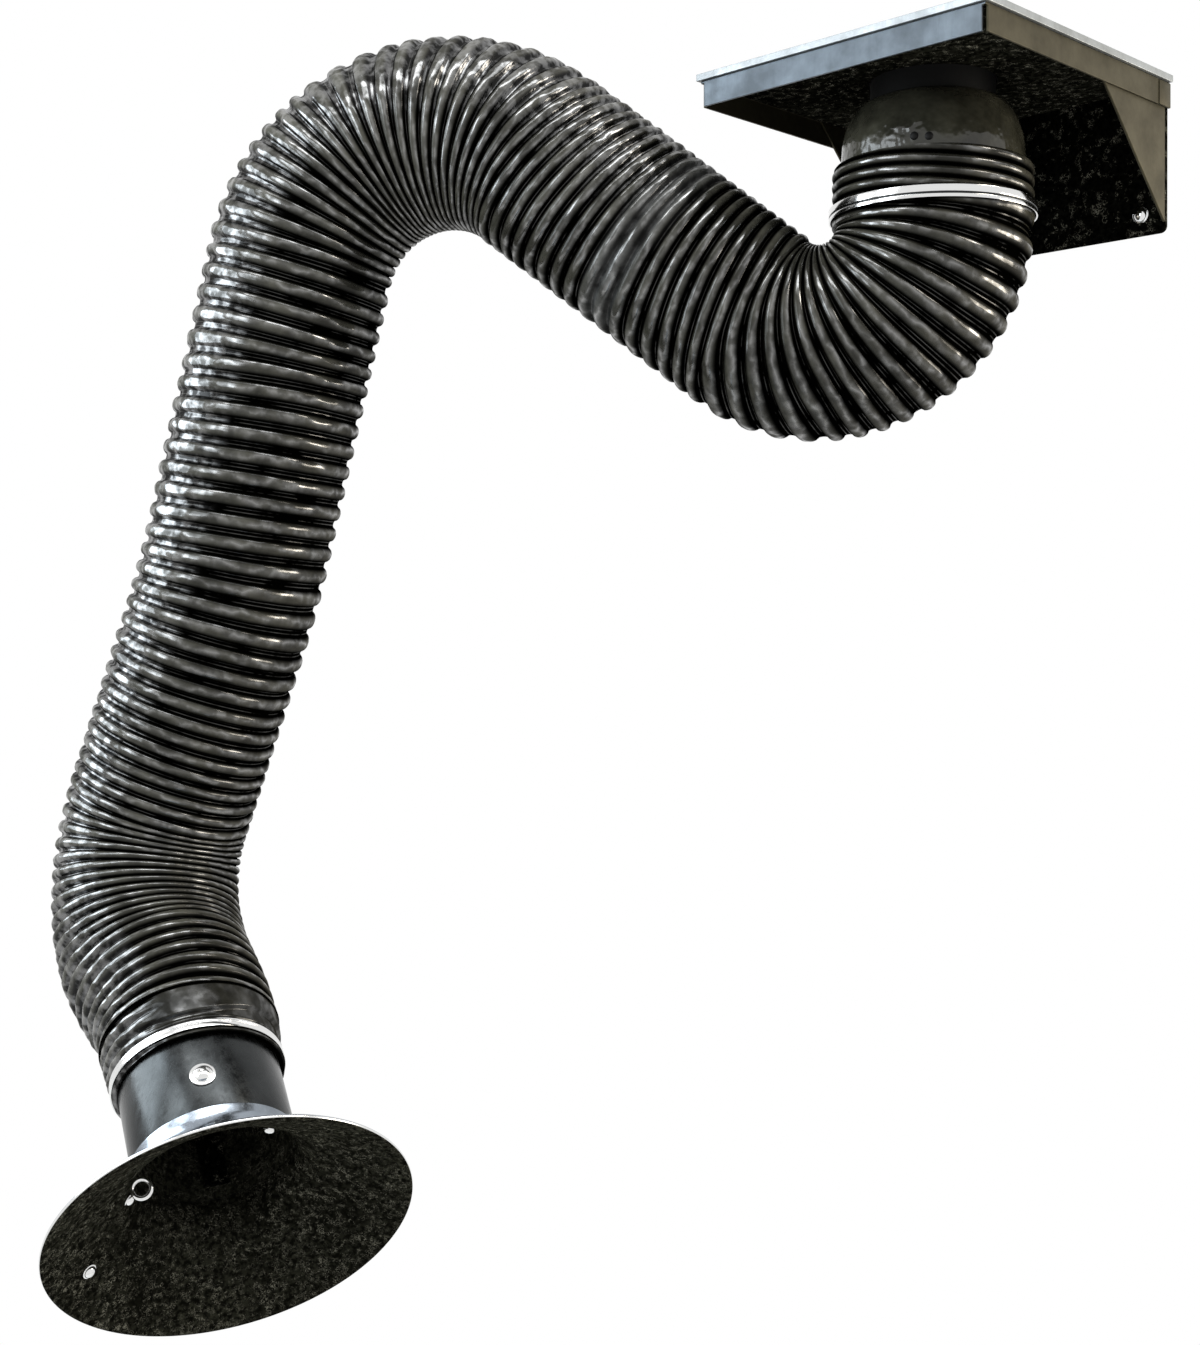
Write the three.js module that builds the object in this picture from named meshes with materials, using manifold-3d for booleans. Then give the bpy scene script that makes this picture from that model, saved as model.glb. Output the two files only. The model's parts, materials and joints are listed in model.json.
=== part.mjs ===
// A wall-hung fume extraction arm: a folded steel bracket with a duct outlet, a swivel bell under it,
// two jointed support tubes inside one ribbed hose, and a shallow round hood on a universal joint.
// Millimetres, +Z up. The origin is the middle of the wall plate's back face, and the wall is at y = 0.
import * as THREE from 'three';
import { mergeVertices } from 'three/addons/utils/BufferGeometryUtils.js';
import Module from 'manifold-3d';

const wasm = await Module();
wasm.setup();

// Fits
const GAP = 0.3;              // between faces that touch
const BORE_CLEARANCE = 0.25;  // round a pin or a shank, on the radius
const SWIVEL_CLEARANCE = 1.5; // round the turning neck, on the radius
const OVERCUT = 1;            // how far a hole's cutter runs past the face it opens

// Bracket
const BRACKET_WIDTH = 290;
const BRACKET_DEPTH = 290;
const WALL_PLATE_HEIGHT = 136;
const WALL_PLATE_THICKNESS = 4;
const WALL_PLATE_CORNER = 6;
const TOP_PLATE_THICKNESS = 6;
const TOP_PLATE_OVERHANG = 3;
const TRAY_SHEET = 2;
const LIP_DEPTH = 22;
const LIP_CORNER_GAP = 3.5;
const GUSSET_SHEET = 2.5;
const GUSSET_REACH = 122;     // along the tray, from the wall
const GUSSET_DROP = 119;      // down the wall plate, from the tray
const WALL_BOLT_RADIUS = 4;
const WALL_BOLT_HEAD = 7.5;
const WALL_BOLT_CROWN = 5;    // height of its domed head
const WALL_BOLT_INSET = 23;   // from the plate's side edges
const WALL_BOLT_LOW = 18;     // from the plate's lower edge
const WALL_BOLT_RISE = 70;    // between the lower and the upper bolts
const SWIVEL_OUT = 150;       // swivel axis from the wall

// Duct, swivel and hose
const DUCT_RADIUS = 80;
const DUCT_SHEET = 2;
const OUTLET_HEIGHT = 24;
const OUTLET_FLANGE = 20;
const OUTLET_FLANGE_THICKNESS = 3;
const NECK_STEP = 26;         // the turning neck's radius under the duct's
const NECK_RADIUS = DUCT_RADIUS - NECK_STEP;
const BELL_DROP = 50;         // height of the bell's shoulder
const SPIGOT_LENGTH = 68;     // straight part under the shoulder
const RING_WIDTH = 14;
const RING_THICKNESS = 6;
const SLIDE_WASHER = 2.3;
const HOSE_WALL = 3.7;        // between two ribs
const RIB_HEIGHT = 4;
const HOSE_BORE = DUCT_RADIUS + GAP;
const HOSE_VALLEY = HOSE_BORE + HOSE_WALL;
const HOSE_CREST = HOSE_VALLEY + RIB_HEIGHT;
const HOSE_SIDES = 14;
const TOP_RIBS = 3;
const CLAMP_WIDTH = 12;
const CLAMP_SHEET = 1.4;
const CLAMP_HOUSING = 18;     // length of the screw housing
const CLAMP_HOUSING_DEPTH = 8;
const CLAMP_SCREW = 3.2;

// Arm, in the swivel's own frame: x runs out along the arm, z up, and z = 0 is the bracket's top face
const ARM_HEADING = 211.6;    // degrees from +X, seen from above
const SHOULDER = new THREE.Vector3(50, 0, -225);
const ELBOW = new THREE.Vector3(515, 0, -15);
const WRIST = new THREE.Vector3(730.5, 0, -734.9);
const HOOD_AIM = new THREE.Vector3(-0.46198, 0.59559, -0.65715).normalize();
const TUBE_RADIUS = 16;
const TUBE_WALL = 2;
const PIVOT_RADIUS = 6;
const LUG_RADIUS = 20;
const LUG_LENGTH = 52;        // pivot to the tube's end
const TONGUE_HALF = 6;
const DISC_THICKNESS = 2.4;
const DISC_RADIUS = 18;
const CHEEK_THICKNESS = 5;
const PLUG_LENGTH = 26;       // how far a lug reaches into its tube
const BOLT_HEAD_HEIGHT = 5;
const BOLT_HEAD_RADIUS = 10;
const BOLT_END = 2;           // a pivot bolt's length past its nut
const YOKE_BAR = 28;          // width of the bar across the spigot
const YOKE_BAR_HEIGHT = 12;
const YOKE_BAR_DROP = 97;     // its middle, under the bracket's top face
const CROSS_HALF = 17;
const CROSS_SIDE_GAP = 2;     // between the cross and the cheeks round it
const WRIST_LUG = 11;
const WRIST_FORK_LENGTH = 60;
const WRIST_NUT = 4;

// Hood, measured along its axis from the wrist
const COLLAR_STEP = 9.5;      // the collar's radius under the duct's
const COLLAR_RADIUS = DUCT_RADIUS - COLLAR_STEP;
const COLLAR_SHEET = 1.5;
const COLLAR_START = 192;
const COLLAR_END = 298;
const COLLAR_SCREW = 266;
const CUFF_START = 176;
const CUFF_END = 225;
const CUFF_WALL = 4.2;        // where it grips the collar
const CUFF_RADIUS = COLLAR_RADIUS + GAP + CUFF_WALL;
const CUFF_RIBS = 3;          // drawn in from the hose to the collar
const LOWER_CLAMP_WIDTH = 8;
const RIM_RADIUS = 153.6;
const RIM_AT = 376;
const RIM_ROLL = 2.2;
const THROAT_AT = 318;
const DISH_SHEET = 1.5;
const DISH_FLARE = 0.85;      // below 1 the dish's wall flattens towards the rim
const DISH_STEPS = 5;         // facets from the neck to the rim
const LEG_WIDTH = 22;
const LEG_SHEET = 4;
const LEG_BEND = 186;
const LEG_END = 286;
const SCREW_HEAD = 8.5;
const SCREW_CROWN = 5;
const SCREW_WASHER = 11;
const SCREW_WASHER_SHEET = 1.5;
const SCREW_SHANK = 3;
const SCREW_END = 3.5;        // a collar screw's length past its leg
const DOME_SCREW_HEAD = 6.5;
const DOME_SCREW_CROWN = 4.5;
const DOME_SCREWS = [[76, 55], [76, 174], [121.5, 196]]; // radius and degrees round the dish
const EYELET_RADIUS = 8;
const EYELET_WIRE = 1.6;
const EYELET_AT = [80, 151];

// The hose's middle line at rest: straight runs, bent round at each corner with its own radius
const onHoodAxis = (along) => WRIST.clone().addScaledVector(HOOD_AIM, along);
const HOSE_TOP_END = -132;
const HOSE_START = new THREE.Vector3(0, 0, HOSE_TOP_END);
const HOSE_CORNERS = [
  { at: new THREE.Vector3(0, 0, -331.8), radius: 97 },
  { at: new THREE.Vector3(532.6, 0, 83.3), radius: 146.8 },
  { at: new THREE.Vector3(657.3, 0, -440), radius: 900 },
  { at: new THREE.Vector3(763.3, 0, -751.5), radius: 140.4 },
  { at: onHoodAxis(CUFF_START - 24), radius: 200 },
];
const HOSE_END = onHoodAxis(CUFF_START);
// Each stretch of hose: its name, where it ends along the route (the last runs to the end), and its ribs
const HOSE_STRETCHES = [
  ['hose_shoulder_bend', 262, 16],
  ['hose_inner_run', 440, 11],
  ['hose_elbow_bend', 800, 25],
  ['hose_outer_run', 1265, 25],
  ['hose_wrist_upper', 1391, 12],
  ['hose_wrist_lower', Infinity, 15],
];

// Finishes
const finish = (color, roughness, metalness) =>
  new THREE.MeshStandardMaterial({ color, roughness, metalness });
const galvanised = () => finish(0x8d9296, 0.45, 0.8);
const stripSteel = () => finish(0xb9bcbc, 0.4, 0.8);
const warmSteel = () => finish(0x6f6b60, 0.5, 0.7);
const darkPlate = () => finish(0x1a1a18, 0.7, 0.3);
const blackVinyl = () => finish(0x1d1e1f, 0.3, 0.0);
const bellCoat = () => finish(0x20211b, 0.2, 0.1);
const gunmetal = () => finish(0x4a4b4a, 0.3, 0.9);
const paleSteel = () => finish(0xd8d8d6, 0.25, 0.9);
const plainSteel = () => finish(0x9a9c9e, 0.4, 0.9);
const frictionPad = () => finish(0x5a4433, 0.8, 0.0);
const slidePlastic = () => finish(0xe6e4dc, 0.5, 0.0);

// Solids: a welded, closed shell that faces outwards, and the joins and cuts between shells
function closedShell(geometry) {
  const bare = new THREE.BufferGeometry();
  bare.setAttribute('position', geometry.getAttribute('position'));
  if (geometry.index) bare.setIndex(geometry.index);
  const welded = mergeVertices(bare, 1e-4);
  const place = welded.getAttribute('position');
  const corner = (i) => new THREE.Vector3().fromBufferAttribute(place, i);
  const faces = [];
  let volume = 0;
  for (let i = 0; i < welded.index.count; i += 3) {
    const [a, b, c] = [0, 1, 2].map((k) => welded.index.getX(i + k));
    if (a === b || b === c || c === a) continue;
    volume += corner(a).dot(corner(b).cross(corner(c)));
    faces.push(a, b, c);
  }
  if (volume < 0) faces.reverse();
  welded.setIndex(faces);
  return welded;
}

function toManifold(geometry) {
  const shell = closedShell(geometry);
  return new wasm.Manifold(new wasm.Mesh({
    numProp: 3,
    vertProperties: new Float32Array(shell.getAttribute('position').array),
    triVerts: new Uint32Array(shell.index.array),
  }));
}

function toGeometry(solid) {
  const { vertProperties, triVerts, numProp } = solid.getMesh();
  const places = [];
  for (let i = 0; i < vertProperties.length; i += numProp) places.push(...vertProperties.slice(i, i + 3));
  const geometry = new THREE.BufferGeometry();
  geometry.setAttribute('position', new THREE.Float32BufferAttribute(places, 3));
  geometry.setIndex([...triVerts]);
  return geometry;
}

const join = (first, ...others) =>
  toGeometry(others.reduce((whole, piece) => whole.add(toManifold(piece)), toManifold(first)));
const cut = (first, ...tools) =>
  toGeometry(tools.reduce((rest, tool) => rest.subtract(toManifold(tool)), toManifold(first)));

function node(parent, name, geometry, material, position, rotation) {
  const mesh = new THREE.Mesh(closedShell(geometry), material);
  mesh.name = name;
  if (position) mesh.position.copy(position);
  if (rotation) mesh.quaternion.copy(rotation);
  parent.add(mesh);
  return mesh;
}

// Basic forms
function turned(profile, segments = 32) {
  const points = profile.map(([r, z]) => new THREE.Vector2(r, z));
  return new THREE.LatheGeometry(points, segments).rotateX(Math.PI / 2);
}

const ringProfile = (inner, outer, low, high) =>
  [[inner, low], [outer, low], [outer, high], [inner, high], [inner, low]];
const ring = (inner, outer, low, high, segments) => turned(ringProfile(inner, outer, low, high), segments);

function block(low, high) {
  const size = high.map((value, i) => value - low[i]);
  const middle = high.map((value, i) => (value + low[i]) / 2);
  return new THREE.BoxGeometry(...size).translate(...middle);
}

// A round bar from a to b along one of the axes 'x', 'y' or 'z'
function bar(radius, axis, a, b, segments = 16) {
  const rod = new THREE.CylinderGeometry(radius, radius, b - a, segments).translate(0, (a + b) / 2, 0);
  if (axis === 'x') rod.rotateZ(-Math.PI / 2);
  if (axis === 'z') rod.rotateX(Math.PI / 2);
  return rod;
}

// The outline round two circles, with straight tangents between them
function linkOutline(ax, ay, ar, bx, by, br) {
  const heading = Math.atan2(by - ay, bx - ax);
  const lean = Math.acos((ar - br) / Math.hypot(bx - ax, by - ay));
  const outline = new THREE.Shape();
  outline.absarc(ax, ay, ar, heading + lean, heading + 2 * Math.PI - lean, false);
  outline.absarc(bx, by, br, heading - lean, heading + lean, false);
  return outline;
}

// A plate with its outline in x and z, between two values of y
function uprightPlate(outline, near, far, curveSegments = 8) {
  const plate = new THREE.ExtrudeGeometry(outline, { depth: far - near, bevelEnabled: false, curveSegments });
  return plate.rotateX(Math.PI / 2).translate(0, far, 0);
}

function withHole(outline, x, y, radius) {
  outline.holes.push(new THREE.Path().absarc(x, y, radius, 0, 2 * Math.PI, true));
  return outline;
}

function rectangle(left, low, right, high) {
  const points = [[left, low], [right, low], [right, high], [left, high]];
  return new THREE.Shape(points.map(([x, y]) => new THREE.Vector2(x, y)));
}

// A screw along z: its shank below, its domed head on z = 0
function domeScrew(headRadius, crown, shankRadius, shankLength) {
  const steps = 3;
  const edge = crown / 4;
  const profile = [[0, -shankLength], [shankRadius, -shankLength], [shankRadius, 0], [headRadius, 0]];
  for (let i = 0; i < steps; i++) {
    const angle = (i / steps) * Math.PI / 2;
    profile.push([headRadius * Math.cos(angle), edge + (crown - edge) * Math.sin(angle)]);
  }
  return turned([...profile, [0, crown]], 12);
}

// A hose clamp round z: its band, and its screw in a housing on the -y side
function hoseClamp(inner, middle, width) {
  const outer = inner + CLAMP_SHEET;
  const half = CLAMP_HOUSING / 2;
  const [low, high] = [middle - width / 2, middle + width / 2];
  const housing = block([-half, -outer - CLAMP_HOUSING_DEPTH, low], [half, -inner - CLAMP_SHEET / 4, high]);
  const screw = bar(CLAMP_SCREW, 'x', 0, half + 2 * CLAMP_SCREW, 6)
    .translate(0, -outer - CLAMP_HOUSING_DEPTH / 2, middle);
  return join(ring(inner, outer, low, high), housing, screw);
}

// Bracket
const TOP = WALL_PLATE_HEIGHT / 2;
const TRAY_TOP = TOP - TOP_PLATE_THICKNESS - GAP;
const TRAY_UNDER = TRAY_TOP - TRAY_SHEET;
const SEAT = TRAY_UNDER - GAP;
const HALF_WIDTH = BRACKET_WIDTH / 2;
const NECK_HOLE = NECK_RADIUS + SWIVEL_CLEARANCE;
const bracket = new THREE.Group();

function buildBracket() {
  const topOutline = rectangle(-HALF_WIDTH - TOP_PLATE_OVERHANG, -BRACKET_DEPTH - TOP_PLATE_OVERHANG,
    HALF_WIDTH + TOP_PLATE_OVERHANG, 0);
  withHole(topOutline, 0, -SWIVEL_OUT, NECK_HOLE);
  const top = new THREE.ExtrudeGeometry(topOutline,
    { depth: TOP_PLATE_THICKNESS, bevelEnabled: false, curveSegments: 16 });
  node(bracket, 'top_plate', top.translate(0, 0, TOP - TOP_PLATE_THICKNESS), stripSteel());

  const sheetOutline = withHole(rectangle(-HALF_WIDTH, -BRACKET_DEPTH, HALF_WIDTH, 0),
    0, -SWIVEL_OUT, NECK_HOLE);
  const sheet = new THREE.ExtrudeGeometry(sheetOutline,
    { depth: TRAY_SHEET, bevelEnabled: false, curveSegments: 16 }).translate(0, 0, TRAY_UNDER);
  const lipEnd = HALF_WIDTH - LIP_CORNER_GAP;
  const lipLow = TRAY_TOP - LIP_DEPTH;
  const front = block([-lipEnd, -BRACKET_DEPTH, lipLow], [lipEnd, TRAY_SHEET - BRACKET_DEPTH, TRAY_TOP]);
  const sides = [-1, 1].map((side) => {
    const across = [side * HALF_WIDTH, side * (HALF_WIDTH - TRAY_SHEET)].sort((a, b) => a - b);
    return block([across[0], LIP_CORNER_GAP - BRACKET_DEPTH, lipLow], [across[1], 0, TRAY_TOP]);
  });
  node(bracket, 'bracket_tray', join(sheet, front, ...sides), galvanised());

  const plateHalf = HALF_WIDTH - TRAY_SHEET - GAP;
  const low = -WALL_PLATE_HEIGHT / 2;
  const corner = WALL_PLATE_CORNER;
  const plate = new THREE.Shape();
  plate.moveTo(plateHalf, SEAT).lineTo(-plateHalf, SEAT).lineTo(-plateHalf, low + corner);
  plate.absarc(corner - plateHalf, low + corner, corner, Math.PI, 1.5 * Math.PI, false);
  plate.absarc(plateHalf - corner, low + corner, corner, 1.5 * Math.PI, 2 * Math.PI, false);
  const boltPlaces = [];
  for (const rise of [0, WALL_BOLT_RISE]) {
    for (const side of [-1, 1]) {
      boltPlaces.push([side * (plateHalf - WALL_BOLT_INSET), low + WALL_BOLT_LOW + rise]);
    }
  }
  for (const [x, z] of boltPlaces) withHole(plate, x, z, WALL_BOLT_RADIUS + BORE_CLEARANCE);
  node(bracket, 'wall_plate', uprightPlate(plate, -WALL_PLATE_THICKNESS, 0, 5), darkPlate());

  boltPlaces.forEach(([x, z], i) => {
    const bolt = domeScrew(WALL_BOLT_HEAD, WALL_BOLT_CROWN, WALL_BOLT_RADIUS, WALL_PLATE_THICKNESS);
    bolt.rotateX(Math.PI / 2).translate(x, -WALL_PLATE_THICKNESS - GAP, z);
    node(bracket, `wall_bolt_${i + 1}`, bolt, paleSteel());
  });

  for (const [name, side] of [['gusset_left', -1], ['gusset_right', 1]]) {
    const web = new THREE.Shape([[0, 0], [GUSSET_REACH, 0], [0, -GUSSET_DROP]]
      .map(([out, rise]) => new THREE.Vector2(-WALL_PLATE_THICKNESS - GAP - out, SEAT + rise)));
    const sheetWeb = new THREE.ExtrudeGeometry(web, { depth: GUSSET_SHEET, bevelEnabled: false });
    // the outline's x becomes y, its y becomes z, and its depth x
    sheetWeb.applyMatrix4(new THREE.Matrix4().makeBasis(
      new THREE.Vector3(0, 1, 0), new THREE.Vector3(0, 0, 1), new THREE.Vector3(1, 0, 0)));
    sheetWeb.translate(side > 0 ? plateHalf - GUSSET_SHEET : -plateHalf, 0, 0);
    node(bracket, name, sheetWeb, warmSteel());
  }

  const outlet = new THREE.Group();
  outlet.position.set(0, -SWIVEL_OUT, TOP);
  bracket.add(outlet);
  const inner = DUCT_RADIUS - DUCT_SHEET;
  const flange = DUCT_RADIUS + OUTLET_FLANGE;
  const flangeTop = GAP + OUTLET_FLANGE_THICKNESS;
  const spigot = [[inner, GAP], [flange, GAP], [flange, flangeTop], [DUCT_RADIUS, flangeTop],
    [DUCT_RADIUS, OUTLET_HEIGHT], [inner, OUTLET_HEIGHT], [inner, GAP]];
  node(outlet, 'outlet_spigot', turned(spigot), galvanised());
  node(outlet, 'slide_washer', ring(NECK_HOLE, NECK_RADIUS + RING_WIDTH, GAP, GAP + SLIDE_WASHER),
    slidePlastic());
}

// Swivel: everything under the bracket that turns about the vertical axis
const swivel = new THREE.Group();
swivel.position.set(0, -SWIVEL_OUT, TOP);
swivel.rotation.z = THREE.MathUtils.degToRad(ARM_HEADING);
const SPIGOT_RADIUS = DUCT_RADIUS - GAP;
const BELL_TOP = SEAT - TOP;
const BELL_END = BELL_TOP - BELL_DROP;
const RING_LOW = 2 * GAP + SLIDE_WASHER;
const RING_HIGH = RING_LOW + RING_THICKNESS;

function bellProfile() {
  const steps = 6;
  const shoulder = (neck, drop) => Array.from({ length: steps + 1 }, (_, i) => {
    const angle = (i / steps) * Math.PI / 2;
    const out = (SPIGOT_RADIUS - NECK_RADIUS) * Math.sin(angle);
    return [neck + out, BELL_END - drop + BELL_DROP * Math.cos(angle)];
  });
  const low = BELL_END - SPIGOT_LENGTH;
  const spigotInner = SPIGOT_RADIUS - DUCT_SHEET;
  const neckTop = RING_HIGH + DUCT_SHEET;
  const outside = [[NECK_RADIUS, neckTop], ...shoulder(NECK_RADIUS, 0), [SPIGOT_RADIUS, low]];
  const inside = [[NECK_RADIUS - DUCT_SHEET, neckTop], ...shoulder(NECK_RADIUS - DUCT_SHEET, DUCT_SHEET),
    [spigotInner, low]];
  return [...outside, ...inside.reverse(), outside[0]];
}

// The hose's ribs along z on a turned stretch: a crest between two valleys
function turnedRibs(low, high, count) {
  const pitch = (high - low) / count;
  const points = [];
  for (let i = 0; i < count; i++) {
    const start = high - i * pitch;
    points.push([HOSE_VALLEY, start], [HOSE_CREST, start - pitch / 2]);
  }
  points.push([HOSE_VALLEY, low]);
  return points;
}

function buildSwivel() {
  node(swivel, 'swivel_bell', turned(bellProfile()), bellCoat());
  node(swivel, 'retaining_ring', ring(NECK_RADIUS + GAP, NECK_RADIUS + RING_WIDTH, RING_LOW, RING_HIGH),
    plainSteel());

  const hoseHigh = BELL_END - GAP;
  const clampHigh = HOSE_TOP_END + 2 * CLAMP_WIDTH;
  const outside = [...turnedRibs(clampHigh, hoseHigh, TOP_RIBS), [HOSE_CREST, clampHigh],
    [HOSE_CREST, HOSE_TOP_END + GAP]];
  const hoseTop = [...outside, [HOSE_BORE, HOSE_TOP_END + GAP], [HOSE_BORE, hoseHigh], outside[0]];
  node(swivel, 'hose_top', turned(hoseTop), blackVinyl());
  const upperClamp = hoseClamp(HOSE_CREST + GAP, HOSE_TOP_END + CLAMP_WIDTH, CLAMP_WIDTH);
  node(swivel, 'upper_clamp', upperClamp, paleSteel());

  const barEnd = Math.sqrt((SPIGOT_RADIUS - DUCT_SHEET - 2 * GAP) ** 2 - (YOKE_BAR / 2) ** 2) - GAP;
  const barLow = -YOKE_BAR_DROP - YOKE_BAR_HEIGHT / 2;
  const crossBar = block([-YOKE_BAR / 2, -barEnd, barLow], [YOKE_BAR / 2, barEnd, barLow + YOKE_BAR_HEIGHT]);
  const cheeks = [-1, 1].map((side) => {
    const outline = linkOutline(0, -YOKE_BAR_DROP, YOKE_BAR / 2, SHOULDER.x, SHOULDER.z, LUG_RADIUS);
    withHole(outline, SHOULDER.x, SHOULDER.z, PIN_HOLE);
    return uprightPlate(outline, ...(side > 0 ? [CHEEK_NEAR, CHEEK_FAR] : [-CHEEK_FAR, -CHEEK_NEAR]));
  });
  node(swivel, 'shoulder_yoke', join(crossBar, ...cheeks), plainSteel());
}

// Pivots and lugs. Each is made with its pivot at the origin, its pin along y and its body along +x.
const CHEEK_NEAR = TONGUE_HALF + DISC_THICKNESS + 2 * GAP;
const CHEEK_FAR = CHEEK_NEAR + CHEEK_THICKNESS;
const TUBE_BORE = TUBE_RADIUS - TUBE_WALL;
// half height of a lug where it enters its tube, its corners just clear of the bore
const LUG_NECK = Math.sqrt((TUBE_BORE - 2 * GAP) ** 2 - TONGUE_HALF ** 2);
const PIN_HOLE = PIVOT_RADIUS + BORE_CLEARANCE;
const WRIST_CHEEK_NEAR = CROSS_HALF + CROSS_SIDE_GAP;
const WRIST_CHEEK_FAR = WRIST_CHEEK_NEAR + CHEEK_THICKNESS;
const ARM_SIDE = new THREE.Vector3(0, 1, 0);

function tongue() {
  const outline = linkOutline(0, 0, LUG_RADIUS, LUG_LENGTH - LUG_NECK, 0, LUG_NECK);
  const plate = uprightPlate(withHole(outline, 0, 0, PIN_HOLE), -TONGUE_HALF, TONGUE_HALF);
  const tail = block([LUG_LENGTH - 2 * LUG_NECK, -TONGUE_HALF, -LUG_NECK],
    [LUG_LENGTH + PLUG_LENGTH, TONGUE_HALF, LUG_NECK]);
  return join(plate, tail);
}

function fork(near, far, lugRadius, length) {
  const cheeks = [-1, 1].map((side) => {
    const outline = withHole(linkOutline(0, 0, lugRadius, length - LUG_NECK, 0, LUG_NECK), 0, 0, PIN_HOLE);
    return uprightPlate(outline, ...(side > 0 ? [near, far] : [-far, -near]));
  });
  const base = block([length - LUG_NECK, -far, -LUG_NECK], [length - GAP, far, LUG_NECK]);
  const plug = bar(TUBE_BORE - GAP, 'x', length - LUG_NECK / 2, length + PLUG_LENGTH, 20);
  return join(base, ...cheeks, plug);
}

function buildPivot(parent, name, place) {
  const head = CHEEK_FAR + GAP;
  const tip = head + BOLT_HEAD_HEIGHT + BOLT_END;
  const bolt = join(bar(PIVOT_RADIUS, 'y', -tip, head + BOLT_HEAD_HEIGHT / 2),
    bar(BOLT_HEAD_RADIUS, 'y', head, head + BOLT_HEAD_HEIGHT, 6));
  node(parent, `${name}_bolt`, bolt, plainSteel(), place);
  const nutOuter = bar(BOLT_HEAD_RADIUS, 'y', -head - BOLT_HEAD_HEIGHT, -head, 6);
  const nutBore = bar(PIN_HOLE, 'y', -tip, 0);
  node(parent, `${name}_nut`, cut(nutOuter, nutBore), plainSteel(), place);
  for (const [side, sign] of [['near', 1], ['far', -1]]) {
    const middle = sign * (TONGUE_HALF + GAP + DISC_THICKNESS / 2);
    const disc = ring(PIN_HOLE, DISC_RADIUS, -DISC_THICKNESS / 2, DISC_THICKNESS / 2, 16);
    disc.rotateX(Math.PI / 2).translate(0, middle, 0);
    node(parent, `${name}_disc_${side}`, disc, frictionPad(), place);
  }
}

// A rotation that lays a piece's x along one direction and its y, the way of its pin, along another
function laidAlong(way, pin) {
  return new THREE.Quaternion().setFromRotationMatrix(new THREE.Matrix4().makeBasis(
    way, pin, new THREE.Vector3().crossVectors(way, pin)));
}

const innerWay = ELBOW.clone().sub(SHOULDER).normalize();
const outerWay = WRIST.clone().sub(ELBOW).normalize();
const swingPin = new THREE.Vector3(-outerWay.z, 0, outerWay.x);
const tiltPin = new THREE.Vector3().crossVectors(swingPin, HOOD_AIM).normalize();

function tube(parent, name, from, to, way, startInset, endInset) {
  const length = to.distanceTo(from);
  const pipe = ring(TUBE_BORE, TUBE_RADIUS, startInset, length - endInset, 20).rotateY(Math.PI / 2);
  node(parent, name, pipe, plainSteel(), from, laidAlong(way, ARM_SIDE));
}

function buildArms() {
  const innerArm = new THREE.Group();
  const outerArm = new THREE.Group();
  swivel.add(innerArm, outerArm);
  const back = (way) => way.clone().negate();

  buildPivot(swivel, 'shoulder', SHOULDER);
  node(innerArm, 'shoulder_tongue', tongue(), plainSteel(), SHOULDER, laidAlong(innerWay, ARM_SIDE));
  tube(innerArm, 'inner_tube', SHOULDER, ELBOW, innerWay, LUG_LENGTH, LUG_LENGTH);
  node(innerArm, 'elbow_fork', fork(CHEEK_NEAR, CHEEK_FAR, LUG_RADIUS, LUG_LENGTH), plainSteel(),
    ELBOW, laidAlong(back(innerWay), ARM_SIDE));

  buildPivot(innerArm, 'elbow', ELBOW);
  node(outerArm, 'elbow_tongue', tongue(), plainSteel(), ELBOW, laidAlong(outerWay, ARM_SIDE));
  tube(outerArm, 'outer_tube', ELBOW, WRIST, outerWay, LUG_LENGTH, WRIST_FORK_LENGTH);
  const wristFork = fork(WRIST_CHEEK_NEAR, WRIST_CHEEK_FAR, WRIST_LUG, WRIST_FORK_LENGTH);
  node(outerArm, 'wrist_fork', wristFork, plainSteel(), WRIST, laidAlong(back(outerWay), swingPin));
}

// Wrist cross: a block with four stub pins, and a nut outside each fork cheek
const wristTurn = laidAlong(new THREE.Vector3().crossVectors(swingPin, tiltPin), swingPin);

function buildCross() {
  const cross = new THREE.Group();
  cross.position.copy(WRIST);
  cross.quaternion.copy(wristTurn);
  swivel.add(cross);
  const tip = WRIST_CHEEK_FAR + GAP + WRIST_NUT;
  const body = bar(CROSS_HALF, 'x', -CROSS_HALF, CROSS_HALF, 24);
  node(cross, 'wrist_cross', join(body, bar(PIVOT_RADIUS, 'y', -tip, tip), bar(PIVOT_RADIUS, 'z', -tip, tip)),
    plainSteel());
  const nut = (axis, sign) => {
    const [low, high] = [WRIST_CHEEK_FAR + GAP, tip].map((value) => value * sign).sort((a, b) => a - b);
    return cut(bar(BOLT_HEAD_RADIUS, axis, low, high, 6),
      bar(PIN_HOLE, axis, low - OVERCUT, high + OVERCUT));
  };
  const places = [['swing_nut_near', 'y', 1], ['swing_nut_far', 'y', -1], ['tilt_nut_near', 'z', 1],
    ['tilt_nut_far', 'z', -1]];
  for (const [name, axis, sign] of places) node(cross, name, nut(axis, sign), plainSteel());
}

// Hood: built about its own axis, z running from the wrist to the mouth, with the tilt pin along y
const hood = new THREE.Group();
hood.position.copy(WRIST);
hood.quaternion.copy(laidAlong(new THREE.Vector3().crossVectors(tiltPin, HOOD_AIM), tiltPin));
const COLLAR_BORE = COLLAR_RADIUS - COLLAR_SHEET;
const DISH_REACH = RIM_RADIUS - RIM_ROLL - COLLAR_RADIUS;

// The dish's wall from its neck to the rolled rim, at a share of the way
function dishWall(share) {
  const rise = (RIM_AT - RIM_ROLL - THROAT_AT) * share ** DISH_FLARE;
  return [COLLAR_RADIUS + DISH_REACH * share, THROAT_AT + rise];
}

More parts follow.
